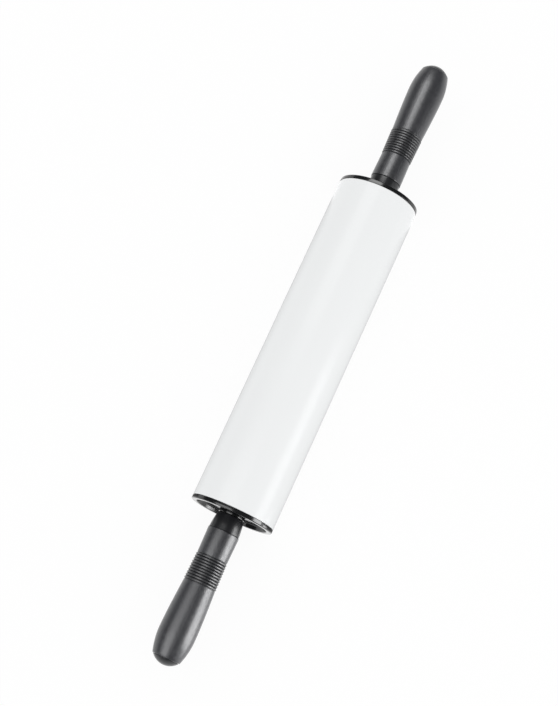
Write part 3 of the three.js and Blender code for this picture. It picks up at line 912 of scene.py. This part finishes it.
class PIN_OT_barrel(bpy.types.Operator):
    """Turns the coated tube, with ends that the coating rolls over"""

    bl_idname = "pin.barrel"
    bl_label = "Barrel"

    def execute(self, context):
        sizes = context.scene.rolling_pin.barrel
        bore = sizes.radius - sizes.wall
        roundings = (CRISP_EDGE, sizes.edge_round, sizes.edge_round, CRISP_EDGE)
        corners = ring_section(bore, sizes.radius, -TUBE_END, TUBE_END, roundings)
        barrel = done(turned("coated_barrel", corners, BARREL_STEPS))
        fit(barrel, "barrel_tube", "coating")
        return {"FINISHED"}


class PIN_OT_end_caps(bpy.types.Operator):
    """Turns the two end caps and joins the stiffening ribs behind their dishes"""

    bl_idname = "pin.end_caps"
    bl_label = "End caps"

    def execute(self, context):
        sizes = context.scene.rolling_pin.cap
        barrel = context.scene.rolling_pin.barrel
        ring = context.scene.rolling_pin.ring
        floor = CAP_FACE - sizes.dish_depth
        web = floor - sizes.web
        flange = CAP_FACE - sizes.flange
        skirt = barrel.radius - barrel.wall - sizes.skirt_gap
        skirt_inside = skirt - sizes.skirt_wall
        hub = sizes.seat_radius + sizes.hub_wall
        hub_end = CAP_FACE - sizes.hub_depth
        dish = barrel.radius - sizes.rim_width
        hole = ring.radius + ring.gap
        corners = [
            Corner(sizes.seat_radius, hub_end, SOFT_EDGE),
            Corner(hub, hub_end, SOFT_EDGE),
            Corner(hub, web, sizes.web_fillet),
            Corner(skirt_inside, web, sizes.web_fillet),
            Corner(skirt_inside, CAP_BACK, CRISP_EDGE),
            Corner(skirt, CAP_BACK, sizes.skirt_lead),
            Corner(skirt, flange, BROKEN_EDGE),
            Corner(barrel.radius, flange, CRISP_EDGE),
            Corner(barrel.radius, CAP_FACE, sizes.edge_round),
            Corner(dish, CAP_FACE, SOFT_EDGE),
            Corner(dish - sizes.dish_draft, floor, sizes.dish_round),
            Corner(hole, floor, BROKEN_EDGE),
            Corner(hole, RING_BACK),
            Corner(sizes.seat_radius, RING_BACK),
        ]
        cap = done(turned("end_cap_shell_right", corners, BARREL_STEPS))
        inside = hub - sizes.hub_wall / 2
        outside = skirt_inside + sizes.skirt_wall / 2
        depth = sizes.rib_depth + sizes.web / 2
        height = AXLE_HEIGHT + (inside + outside) / 2
        middle = Vector((web - sizes.rib_depth + depth / 2, 0, height))
        ribs = block(middle, (depth, sizes.rib_thickness, outside - inside))
        repeated_round(sizes.rib_count)
        combine(cap, done(ribs), "UNION")
        fit_pair(done(cap), "end_cap_shell", "end_cap", "gloss")
        return {"FINISHED"}


class PIN_OT_dust_rings(bpy.types.Operator):
    """Turns the dust ring that stands in each cap as a boss"""

    bl_idname = "pin.dust_rings"
    bl_label = "Dust rings"

    def execute(self, context):
        sizes = context.scene.rolling_pin.ring
        roundings = (CRISP_EDGE, CRISP_EDGE, SOFT_EDGE, SOFT_EDGE)
        corners = ring_section(sizes.bore, sizes.radius, RING_BACK, RING_FACE, roundings)
        turned_pair("dust_ring_shell", "dust_ring", corners, GRIP_STEPS, "gloss")
        return {"FINISHED"}


class PIN_OT_neck_collars(bpy.types.Operator):
    """Turns the flared collars between caps and handles"""

    bl_idname = "pin.neck_collars"
    bl_label = "Neck collars"

    def execute(self, context):
        sizes = context.scene.rolling_pin.collar
        seam = HANDLE_START - sizes.seam_gap
        start = seam - sizes.body_length
        shoulder = sizes.seam_radius - sizes.seam_chamfer
        flare = sweep(
            Corner(sizes.hub_radius, start),
            Corner(shoulder, start + sizes.body_length / 2),
            Corner(sizes.seam_radius, seam - sizes.seam_chamfer),
        )
        corners = [
            Corner(sizes.hole_radius, NOSE_END, BROKEN_EDGE),
            Corner(sizes.nose_radius, NOSE_END, SOFT_EDGE),
            Corner(sizes.nose_radius, start, CRISP_EDGE),
            flare[0]._replace(rounding=CRISP_EDGE),
            *flare[1:],
            Corner(shoulder, seam, BROKEN_EDGE),
            Corner(sizes.spigot_radius, seam, CRISP_EDGE),
            Corner(sizes.spigot_radius, SPIGOT_END, SOFT_EDGE),
            Corner(sizes.hole_radius, SPIGOT_END, BROKEN_EDGE),
        ]
        turned_pair("neck_collar_shell", "neck_collar", corners, GRIP_STEPS, "smooth")
        return {"FINISHED"}


class PIN_OT_handles(bpy.types.Operator):
    """Turns the ribbed handles and raises the lines where their mould halves met"""

    bl_idname = "pin.handles"
    bl_label = "Handles"

    def execute(self, context):
        sizes = context.scene.rolling_pin.handle
        collar = context.scene.rolling_pin.collar
        recess = HANDLE_START + sizes.recess_depth
        ribs_start = HANDLE_START + sizes.neck_length
        ribs_end = ribs_start + sizes.rib_count * sizes.rib_pitch
        fullest = ribs_end + sizes.swell_length
        tail = fullest + sizes.tail_length
        pocket = HANDLE_END - sizes.pocket_depth
        swell = sweep(
            Corner(sizes.swell_start, ribs_end + sizes.rib_sink),
            Corner(sizes.swell_radius, ribs_end + sizes.swell_bend * sizes.swell_length),
            Corner(sizes.swell_radius, fullest),
        )
        taper = sweep(
            swell[-1],
            Corner(sizes.swell_radius, fullest + sizes.tail_length / 2),
            Corner(sizes.tail_radius, tail),
        )
        corners = [
            Corner(collar.hole_radius, recess),
            Corner(sizes.recess_radius, recess),
            Corner(sizes.recess_radius, HANDLE_START, CRISP_EDGE),
            Corner(sizes.neck_radius - collar.seam_chamfer, HANDLE_START, BROKEN_EDGE),
            Corner(sizes.neck_radius, HANDLE_START + collar.seam_chamfer, CRISP_EDGE),
            Corner(sizes.waist_radius, ribs_start - sizes.rib_sink, sizes.rib_round),
            *self.ribs(sizes, ribs_start),
            *swell,
            *taper[1:],
            Corner(sizes.tail_radius - sizes.tail_round, HANDLE_END, BROKEN_EDGE),
            Corner(sizes.pocket_radius, HANDLE_END, BROKEN_EDGE),
            Corner(sizes.pocket_radius, pocket, SOFT_EDGE),
            Corner(collar.hole_radius, pocket, BROKEN_EDGE),
        ]
        handle = turned("handle_grip_right", corners, GRIP_STEPS)
        self.raise_parting_line(sizes)
        fit_pair(done(handle), "handle_grip", "handle", "grip")
        return {"FINISHED"}

    def ribs(self, sizes, start):
        """The raised rings, from the valley before the first to the valley after the last"""
        corners = []
        rounding = sizes.rib_round
        slope = (sizes.swell_start - sizes.waist_radius) / (sizes.rib_count * sizes.rib_pitch)
        side = (sizes.rib_pitch - sizes.rib_crest) / 2
        for k in range(sizes.rib_count):
            along = k * sizes.rib_pitch
            valley = sizes.waist_radius + slope * along - sizes.rib_sink
            crest = valley + sizes.rib_height
            corners.append(Corner(valley, start + along, rounding))
            corners.append(Corner(crest, start + along + side, rounding))
            corners.append(Corner(crest, start + along + side + sizes.rib_crest, rounding))
        end = start + sizes.rib_count * sizes.rib_pitch
        corners.append(Corner(sizes.swell_start - sizes.rib_sink, end, rounding))
        return corners

    def raise_parting_line(self, sizes):
        """Cuts the handle along the plane where the mould halves met and lifts that line"""
        # the right handle becomes the left one by half a turn, so its line leans the other way
        lean = -sizes.line_angle
        across = Vector((0, math.cos(lean), -math.sin(lean)))
        for offset in (-sizes.line_width, 0.0, sizes.line_width):
            bpy.ops.mesh.select_all(action="SELECT")
            bpy.ops.mesh.bisect(plane_co=AXLE_CENTRE + offset * across, plane_no=across)
        outside = sizes.waist_radius - sizes.rib_height

        def on_line(point):
            arm = Vector((0, point.y, point.z - AXLE_HEIGHT))
            return abs(arm.dot(across)) < WELD and arm.length > outside

        pick(on_line)
        growth = 1 + sizes.line_height / sizes.neck_radius
        bpy.ops.transform.resize(value=(1, growth, growth), center_override=AXLE_CENTRE)


class PIN_OT_end_plugs(bpy.types.Operator):
    """Turns the domed plugs in the handles' ends"""

    bl_idname = "pin.end_plugs"
    bl_label = "End plugs"

    def execute(self, context):
        sizes = context.scene.rolling_pin.plug
        rim = PLUG_TIP - sizes.dome
        seat = rim - sizes.edge
        inside = sizes.skirt_radius - sizes.wall
        dome_radius = (sizes.radius**2 + sizes.dome**2) / (2 * sizes.dome)
        centre = Corner(0, PLUG_TIP - dome_radius)
        spread = math.acos(sizes.radius / dome_radius)
        dome = arc(centre, dome_radius, spread, math.pi / 2)
        corners = [
            Corner(0, rim),
            Corner(inside, rim, SOFT_EDGE),
            Corner(inside, PLUG_SKIRT_END, BROKEN_EDGE),
            Corner(sizes.skirt_radius, PLUG_SKIRT_END, SOFT_EDGE),
            Corner(sizes.skirt_radius, seat, BROKEN_EDGE),
            Corner(sizes.radius, seat, BROKEN_EDGE),
            dome[0]._replace(rounding=CRISP_EDGE),
            *dome[1:-1],
            Corner(0, PLUG_TIP),
        ]
        turned_pair("end_plug_shell", "end_plug", corners, GRIP_STEPS, "smooth", closed=False)
        return {"FINISHED"}


class PIN_OT_axle(bpy.types.Operator):
    """Turns the axle with its circlip grooves and winds a thread on each end"""

    bl_idname = "pin.axle"
    bl_label = "Axle"

    def execute(self, context):
        sizes = context.scene.rolling_pin.axle
        spare = sizes.thread_pitch
        root = sizes.radius - sizes.thread_depth
        groove = sizes.radius - sizes.groove_depth
        thread_start = WASHER_IN - sizes.thread_run
        half = [
            Corner(sizes.radius, CLIP_IN - sizes.groove_gap),
            Corner(groove, CLIP_IN - sizes.groove_gap),
            Corner(groove, CLIP_OUT + sizes.groove_gap),
            Corner(sizes.radius, CLIP_OUT + sizes.groove_gap),
            Corner(sizes.radius, thread_start - sizes.thread_depth),
            Corner(root, thread_start),
            Corner(root, AXLE_END + spare),
            Corner(0, AXLE_END + spare),
        ]
        other_half = [Corner(corner.radius, -corner.along) for corner in reversed(half)]
        axle = done(turned("axle_threaded", other_half + half, BEARING_STEPS, closed=False))
        thread = self.thread(sizes, thread_start - sizes.thread_pitch)
        other_thread = turned_round(thread, "other_thread")
        combine(axle, thread, "UNION")
        combine(axle, other_thread, "UNION")
        combine(axle, self.blank(sizes), "INTERSECT")
        fit(done(axle), "axle_rod", "steel")
        return {"FINISHED"}

    def thread(self, sizes, start):
        """The thread's ridge as a closed helix whose foot is sunk into the rod"""
        foot = sizes.radius - sizes.thread_depth - BROKEN_EDGE
        flank = (sizes.thread_pitch - sizes.thread_crest) / 2 - BROKEN_EDGE
        corners = [
            Corner(foot, start),
            Corner(sizes.radius, start + flank),
            Corner(sizes.radius, start + flank + sizes.thread_crest),
            Corner(foot, start + 2 * flank + sizes.thread_crest),
        ]
        ridge = draw_profile("thread", corners)
        bpy.ops.object.mode_set(mode="OBJECT")
        bpy.context.scene.cursor.location = AXLE_CENTRE
        bpy.ops.object.origin_set(type="ORIGIN_CURSOR")
        bpy.context.scene.cursor.location = (0, 0, 0)
        winding = {
            "axis": "X",
            "screw_offset": sizes.thread_pitch,
            "iterations": math.ceil((AXLE_END - start) / sizes.thread_pitch),
            "steps": TOOL_STEPS,
            "render_steps": TOOL_STEPS,
        }
        apply_modifier(ridge, "SCREW", winding)
        bpy.ops.object.mode_set(mode="EDIT")
        bpy.ops.mesh.select_all(action="SELECT")
        bpy.ops.mesh.fill_holes(sides=len(corners))
        clean_up()
        return done(ridge)

    def blank(self, sizes):
        """The rod that the thread is cut from: it trims the thread to the axle's bevelled ends"""
        wide = sizes.radius + sizes.chamfer
        corners = [
            Corner(0, -AXLE_END),
            Corner(sizes.radius - sizes.chamfer, -AXLE_END),
            Corner(wide, -AXLE_END + 2 * sizes.chamfer),
            Corner(wide, AXLE_END - 2 * sizes.chamfer),
            Corner(sizes.radius - sizes.chamfer, AXLE_END),
            Corner(0, AXLE_END),
        ]
        return done(turned("blank", corners, BEARING_STEPS, closed=False))


class PIN_OT_races(bpy.types.Operator):
    """Turns the bearings' outer and inner races with their ball grooves"""

    bl_idname = "pin.races"
    bl_label = "Bearing races"

    def execute(self, context):
        sizes = context.scene.rolling_pin.bearing
        middle = Corner(sizes.ball_circle, BALL_MIDDLE)
        groove = sizes.ball_radius + sizes.groove_gap
        outer_land = sizes.ball_circle + sizes.outer_land
        inner_land = sizes.ball_circle - sizes.inner_land
        seat_in = RACE_IN + sizes.shield_seat_width
        seat_out = RACE_OUT - sizes.shield_seat_width
        open_out = math.acos(sizes.outer_land / groove)
        open_in = math.acos(sizes.inner_land / groove)
        outer = [
            Corner(sizes.shield_seat, RACE_IN, BROKEN_EDGE),
            Corner(sizes.radius, RACE_IN, SOFT_EDGE),
            Corner(sizes.radius, RACE_OUT, SOFT_EDGE),
            Corner(sizes.shield_seat, RACE_OUT, BROKEN_EDGE),
            Corner(sizes.shield_seat, seat_out),
            Corner(outer_land, seat_out, BROKEN_EDGE),
            *arc(middle, groove, open_out, -open_out),
            Corner(outer_land, seat_in, BROKEN_EDGE),
            Corner(sizes.shield_seat, seat_in),
        ]
        inner = [
            Corner(sizes.bore, RACE_IN, CRISP_EDGE),
            Corner(inner_land, RACE_IN, BROKEN_EDGE),
            *arc(middle, groove, math.pi + open_in, math.pi - open_in),
            Corner(inner_land, RACE_OUT, BROKEN_EDGE),
            Corner(sizes.bore, RACE_OUT, CRISP_EDGE),
        ]
        turned_pair("outer_race_ring", "outer_race", outer, BEARING_STEPS, "steel")
        turned_pair("inner_race_ring", "inner_race", inner, BEARING_STEPS, "steel")
        return {"FINISHED"}


class PIN_OT_ball_cages(bpy.types.Operator):
    """Turns the snap cages and cuts their ball pockets"""

    bl_idname = "pin.ball_cages"
    bl_label = "Ball cages"

    def execute(self, context):
        sizes = context.scene.rolling_pin.bearing
        inside = sizes.ball_circle - sizes.cage_wall / 2
        outside = sizes.ball_circle + sizes.cage_wall / 2
        corners = ring_section(inside, outside, CAGE_LIP, CAGE_BACK)
        cage = done(turned("ball_cage_snap_right", corners, BEARING_STEPS))
        pocket_radius = sizes.ball_radius + sizes.pocket_gap
        middle = Vector((BALL_MIDDLE, 0, AXLE_HEIGHT + sizes.ball_circle))
        depth = 2 * sizes.cage_wall
        pockets = rod("pockets", TOOL_STEPS, pocket_radius, depth, middle, UPRIGHT)
        repeated_round(sizes.ball_count)
        combine(cage, done(pockets), "DIFFERENCE")
        fit_pair(done(cage), "ball_cage_snap", "ball_cage", "nylon")
        return {"FINISHED"}


class PIN_OT_balls(bpy.types.Operator):
    """Rounds a divided cube to a ball and puts a copy in every pocket"""

    bl_idname = "pin.balls"
    bl_label = "Bearing balls"

    def execute(self, context):
        sizes = context.scene.rolling_pin.bearing
        counted = range(1, sizes.ball_count + 1)
        pockets = [f"{side}_{k}" for side in ("right", "left") for k in counted]
        first = self.round_ball(f"polished_ball_{pockets[0]}", sizes.ball_radius)
        copies = [copy_of(first, f"polished_ball_{pocket}") for pocket in pockets[1:]]
        for ball, pocket in zip([first, *copies], pockets):
            low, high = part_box(f"bearing_ball_{pocket}")
            select_only(ball)
            bpy.ops.transform.translate(value=(low + high) / 2)
            fit(done(ball), f"bearing_ball_{pocket}", "steel")
        return {"FINISHED"}

    def round_ball(self, name, radius):
        """A ball about the origin"""
        bpy.ops.object.select_all(action="DESELECT")
        bpy.ops.mesh.primitive_cube_add(size=radius, location=(0, 0, 0))
        ball = named(name)
        bpy.ops.object.mode_set(mode="EDIT")
        bpy.ops.mesh.subdivide(number_cuts=BALL_CUTS)
        bpy.ops.object.mode_set(mode="OBJECT")
        rounding = {"cast_type": "SPHERE", "factor": 1.0, "use_radius_as_size": False}
        apply_modifier(ball, "CAST", {**rounding, "size": radius})
        return ball


class PIN_OT_shields(bpy.types.Operator):
    """Turns the pressed shields on both sides of the bearings"""

    bl_idname = "pin.shields"
    bl_label = "Bearing shields"

    def execute(self, context):
        sizes = context.scene.rolling_pin.bearing
        for way in ("outward", "inward"):
            start, end = span(f"shield_{way}_right")
            outer_side, inner_side = (end, start) if way == "outward" else (start, end)
            press = sizes.shield_press if way == "outward" else -sizes.shield_press
            dip = sizes.shield_land + sizes.shield_slope
            corners = [
                Corner(sizes.shield_bore, inner_side),
                Corner(sizes.shield_radius, inner_side, BROKEN_EDGE),
                Corner(sizes.shield_radius, outer_side, BROKEN_EDGE),
                Corner(sizes.shield_radius - sizes.shield_land, outer_side, BROKEN_EDGE),
                Corner(sizes.shield_radius - dip, outer_side - press, BROKEN_EDGE),
                Corner(sizes.shield_bore + dip, outer_side - press, BROKEN_EDGE),
                Corner(sizes.shield_bore + sizes.shield_land, outer_side, BROKEN_EDGE),
                Corner(sizes.shield_bore, outer_side, BROKEN_EDGE),
            ]
            turned_pair(f"shield_disc_{way}", f"shield_{way}", corners, BEARING_STEPS, "zinc")
        return {"FINISHED"}


class PIN_OT_circlips(bpy.types.Operator):
    """Turns the circlips, opens them at the bottom and adds a drilled eye at each end"""

    bl_idname = "pin.circlips"
    bl_label = "Circlips"

    def execute(self, context):
        sizes = context.scene.rolling_pin.axle
        outside = sizes.clip_bore + sizes.clip_width
        thickness = CLIP_OUT - CLIP_IN
        middle = (CLIP_IN + CLIP_OUT) / 2
        corners = ring_section(sizes.clip_bore, outside, CLIP_IN, CLIP_OUT)
        clip = done(turned("circlip_ring_right", corners, BEARING_STEPS))
        eye_circle = outside - sizes.clip_lug / 2
        aside = eye_circle * math.sin(sizes.clip_opening / 2)
        down = AXLE_HEIGHT - eye_circle * math.cos(sizes.clip_opening / 2)
        opening = Vector((middle, 0, AXLE_HEIGHT - outside))
        gap = block(opening, (2 * thickness, 2 * aside, 2 * sizes.clip_width + sizes.clip_lug))
        combine(clip, done(gap), "DIFFERENCE")
        eyes = [Vector((middle, aside, down)), Vector((middle, -aside, down))]
        combine(clip, done(rods(sizes.clip_lug, thickness, eyes)), "UNION")
        combine(clip, done(rods(sizes.clip_hole, 2 * thickness, eyes)), "DIFFERENCE")
        fit_pair(done(clip), "circlip_ring", "circlip", "steel")
        return {"FINISHED"}


class PIN_OT_washers(bpy.types.Operator):
    """Turns the washers, rounded on the side that was punched first"""

    bl_idname = "pin.washers"
    bl_label = "Washers"

    def execute(self, context):
        sizes = context.scene.rolling_pin.axle
        hole = context.scene.rolling_pin.collar.hole_radius
        roundings = (BROKEN_EDGE, BROKEN_EDGE, SOFT_EDGE, CRISP_EDGE)
        corners = ring_section(hole, sizes.washer_radius, WASHER_IN, WASHER_OUT, roundings)
        turned_pair("washer_disc", "washer", corners, BEARING_STEPS, "zinc")
        return {"FINISHED"}


class PIN_OT_lock_nuts(bpy.types.Operator):
    """Cuts the chamfered nuts, with a rolled collar for the locking ring, from hexagon bar"""

    bl_idname = "pin.lock_nuts"
    bl_label = "Lock nuts"

    def execute(self, context):
        sizes = context.scene.rolling_pin.axle
        bore = context.scene.rolling_pin.collar.hole_radius
        flat = sizes.nut_flats / 2
        point = sizes.nut_flats / math.sqrt(3)
        wide = point + sizes.nut_chamfer
        top = NUT_OUT - sizes.nut_collar_height
        corners = [
            Corner(bore, NUT_IN, CRISP_EDGE),
            Corner(flat, NUT_IN),
            Corner(wide, NUT_IN + sizes.nut_chamfer),
            Corner(wide, top - sizes.nut_chamfer),
            Corner(flat, top),
            Corner(sizes.nut_collar, top, CRISP_EDGE),
            Corner(sizes.nut_collar, NUT_OUT, sizes.nut_crimp),
            Corner(bore, NUT_OUT, CRISP_EDGE),
        ]
        nut = done(turned("lock_nut_hex_right", corners, BEARING_STEPS))
        middle = Vector(((NUT_IN + NUT_OUT) / 2, 0, AXLE_HEIGHT))
        bar = rod("hexagon_bar", NUT_SIDES, point, 2 * (NUT_OUT - NUT_IN), middle)
        flat_up = math.pi / NUT_SIDES
        bpy.ops.transform.rotate(value=flat_up, orient_axis="X", center_override=middle)
        combine(nut, done(bar), "INTERSECT")
        fit_pair(done(nut), "lock_nut_hex", "lock_nut", "zinc")
        return {"FINISHED"}


class PIN_OT_stage(bpy.types.Operator):
    """Sets up the pale floor, the softboxes, the room's light and the camera"""

    bl_idname = "pin.stage"
    bl_label = "Stage"

    def execute(self, context):
        stage = context.scene.rolling_pin.stage
        context.scene.view_settings.view_transform = "Standard"
        bpy.ops.object.select_all(action="DESELECT")
        bpy.ops.mesh.primitive_plane_add(size=FLOOR_SIZE, location=(0, 0, 0))
        floor = named("floor")
        floor.data.materials.append(finish_for("floor"))
        self.light_room(context, stage)
        lamps = {kind: self.add_softbox(stage, kind, name) for kind, name in LAMPS.items()}
        lamps["card"].data.spread = stage.card_spread
        lamps["fill"].visible_glossy = False
        lamps["fill"].visible_diffuse = True
        self.add_camera(context, stage)
        return {"FINISHED"}

    def light_room(self, context, stage):
        """Even light from all round, which shows only dimly in reflections"""
        world = bpy.data.worlds.new("studio")
        world.use_nodes = True
        shader = Shader(world.node_tree)
        glossy = shader.node("ShaderNodeLightPath", {}, {}, "Is Glossy Ray")
        level = shader.mixed(glossy, grey(stage.room), grey(stage.room_seen))
        light = shader.node("ShaderNodeBackground", {}, {"Color": level})
        shader.node("ShaderNodeOutputWorld", {}, {"Surface": light})
        context.scene.world = world

    def add_softbox(self, stage, kind, name):
        """A softbox that faces the axle's line and shows in reflections only"""
        middle = Vector(getattr(stage, f"{kind}_place"))
        bpy.ops.object.light_add(type="AREA", location=middle)
        lamp = named(name)
        facing = (middle - Vector((middle.x, 0, AXLE_HEIGHT))).normalized()
        upward = facing.cross(Vector((1, 0, 0))).normalized()
        axes = Matrix((upward.cross(facing), upward, facing)).transposed()
        lamp.rotation_euler = axes.to_euler()
        lamp.data.shape = "RECTANGLE"
        lamp.data.size = getattr(stage, f"{kind}_length")
        lamp.data.size_y = getattr(stage, f"{kind}_width")
        lamp.data.energy = getattr(stage, f"{kind}_power")
        lamp.visible_camera = False
        lamp.visible_diffuse = False
        return lamp

    def add_camera(self, context, stage):
        """The camera, at the photograph's viewing angle"""
        turn = stage.heading - math.pi / 2
        right = Vector((math.cos(turn), math.sin(turn), 0))
        level = math.cos(stage.elevation)
        ahead = Vector((
            level * math.cos(stage.heading),
            level * math.sin(stage.heading),
            -math.sin(stage.elevation),
        ))
        upward = right.cross(ahead)
        eye = AXLE_CENTRE - stage.distance * ahead - stage.aside * right - stage.above * upward
        tilt = math.pi / 2 - stage.elevation
        bpy.ops.object.camera_add(location=eye, rotation=(tilt, 0, turn))
        camera = named("camera")
        camera.data.lens = stage.lens
        camera.data.clip_start = CAMERA_NEAR
        context.scene.camera = camera


# Each step of the build, with the settings that the sidebar lists under it
STEPS = (
    (PIN_OT_barrel, "barrel"),
    (PIN_OT_end_caps, "cap"),
    (PIN_OT_dust_rings, "ring"),
    (PIN_OT_neck_collars, "collar"),
    (PIN_OT_handles, "handle"),
    (PIN_OT_end_plugs, "plug"),
    (PIN_OT_axle, "axle"),
    (PIN_OT_circlips, None),
    (PIN_OT_washers, None),
    (PIN_OT_lock_nuts, None),
    (PIN_OT_races, "bearing"),
    (PIN_OT_ball_cages, None),
    (PIN_OT_balls, None),
    (PIN_OT_shields, "finish"),
    (PIN_OT_stage, "stage"),
)


class PIN_PT_sidebar(bpy.types.Panel):
    """Lists the steps of the build and their settings"""

    bl_idname = "PIN_PT_sidebar"
    bl_label = "Rolling pin"
    bl_space_type = "VIEW_3D"
    bl_region_type = "UI"
    bl_category = "Rolling pin"

    def draw(self, context):
        for step, group in STEPS:
            box = self.layout.box()
            box.operator(step.bl_idname)
            if group:
                settings = getattr(context.scene.rolling_pin, group)
                for name in settings.__annotations__:
                    box.prop(settings, name)


CLASSES = (
    BarrelSizes,
    CapSizes,
    RingSizes,
    CollarSizes,
    HandleSizes,
    PlugSizes,
    AxleSizes,
    BearingSizes,
    FinishColours,
    StageSettings,
    RollingPin,
    *(step for step, group in STEPS),
    PIN_PT_sidebar,
)


def register():
    for kind in CLASSES:
        bpy.utils.register_class(kind)
    bpy.types.Scene.rolling_pin = bpy.props.PointerProperty(type=RollingPin)


def unregister():
    del bpy.types.Scene.rolling_pin
    for kind in reversed(CLASSES):
        bpy.utils.unregister_class(kind)


def main():
    register()
    bpy.ops.pin.barrel()
    bpy.ops.pin.end_caps()
    bpy.ops.pin.dust_rings()
    bpy.ops.pin.neck_collars()
    bpy.ops.pin.handles()
    bpy.ops.pin.end_plugs()
    bpy.ops.pin.axle()
    bpy.ops.pin.circlips()
    bpy.ops.pin.washers()
    bpy.ops.pin.lock_nuts()
    bpy.ops.pin.races()
    bpy.ops.pin.ball_cages()
    bpy.ops.pin.balls()
    bpy.ops.pin.shields()
    bpy.ops.pin.stage()


if __name__ == "__main__":
    main()
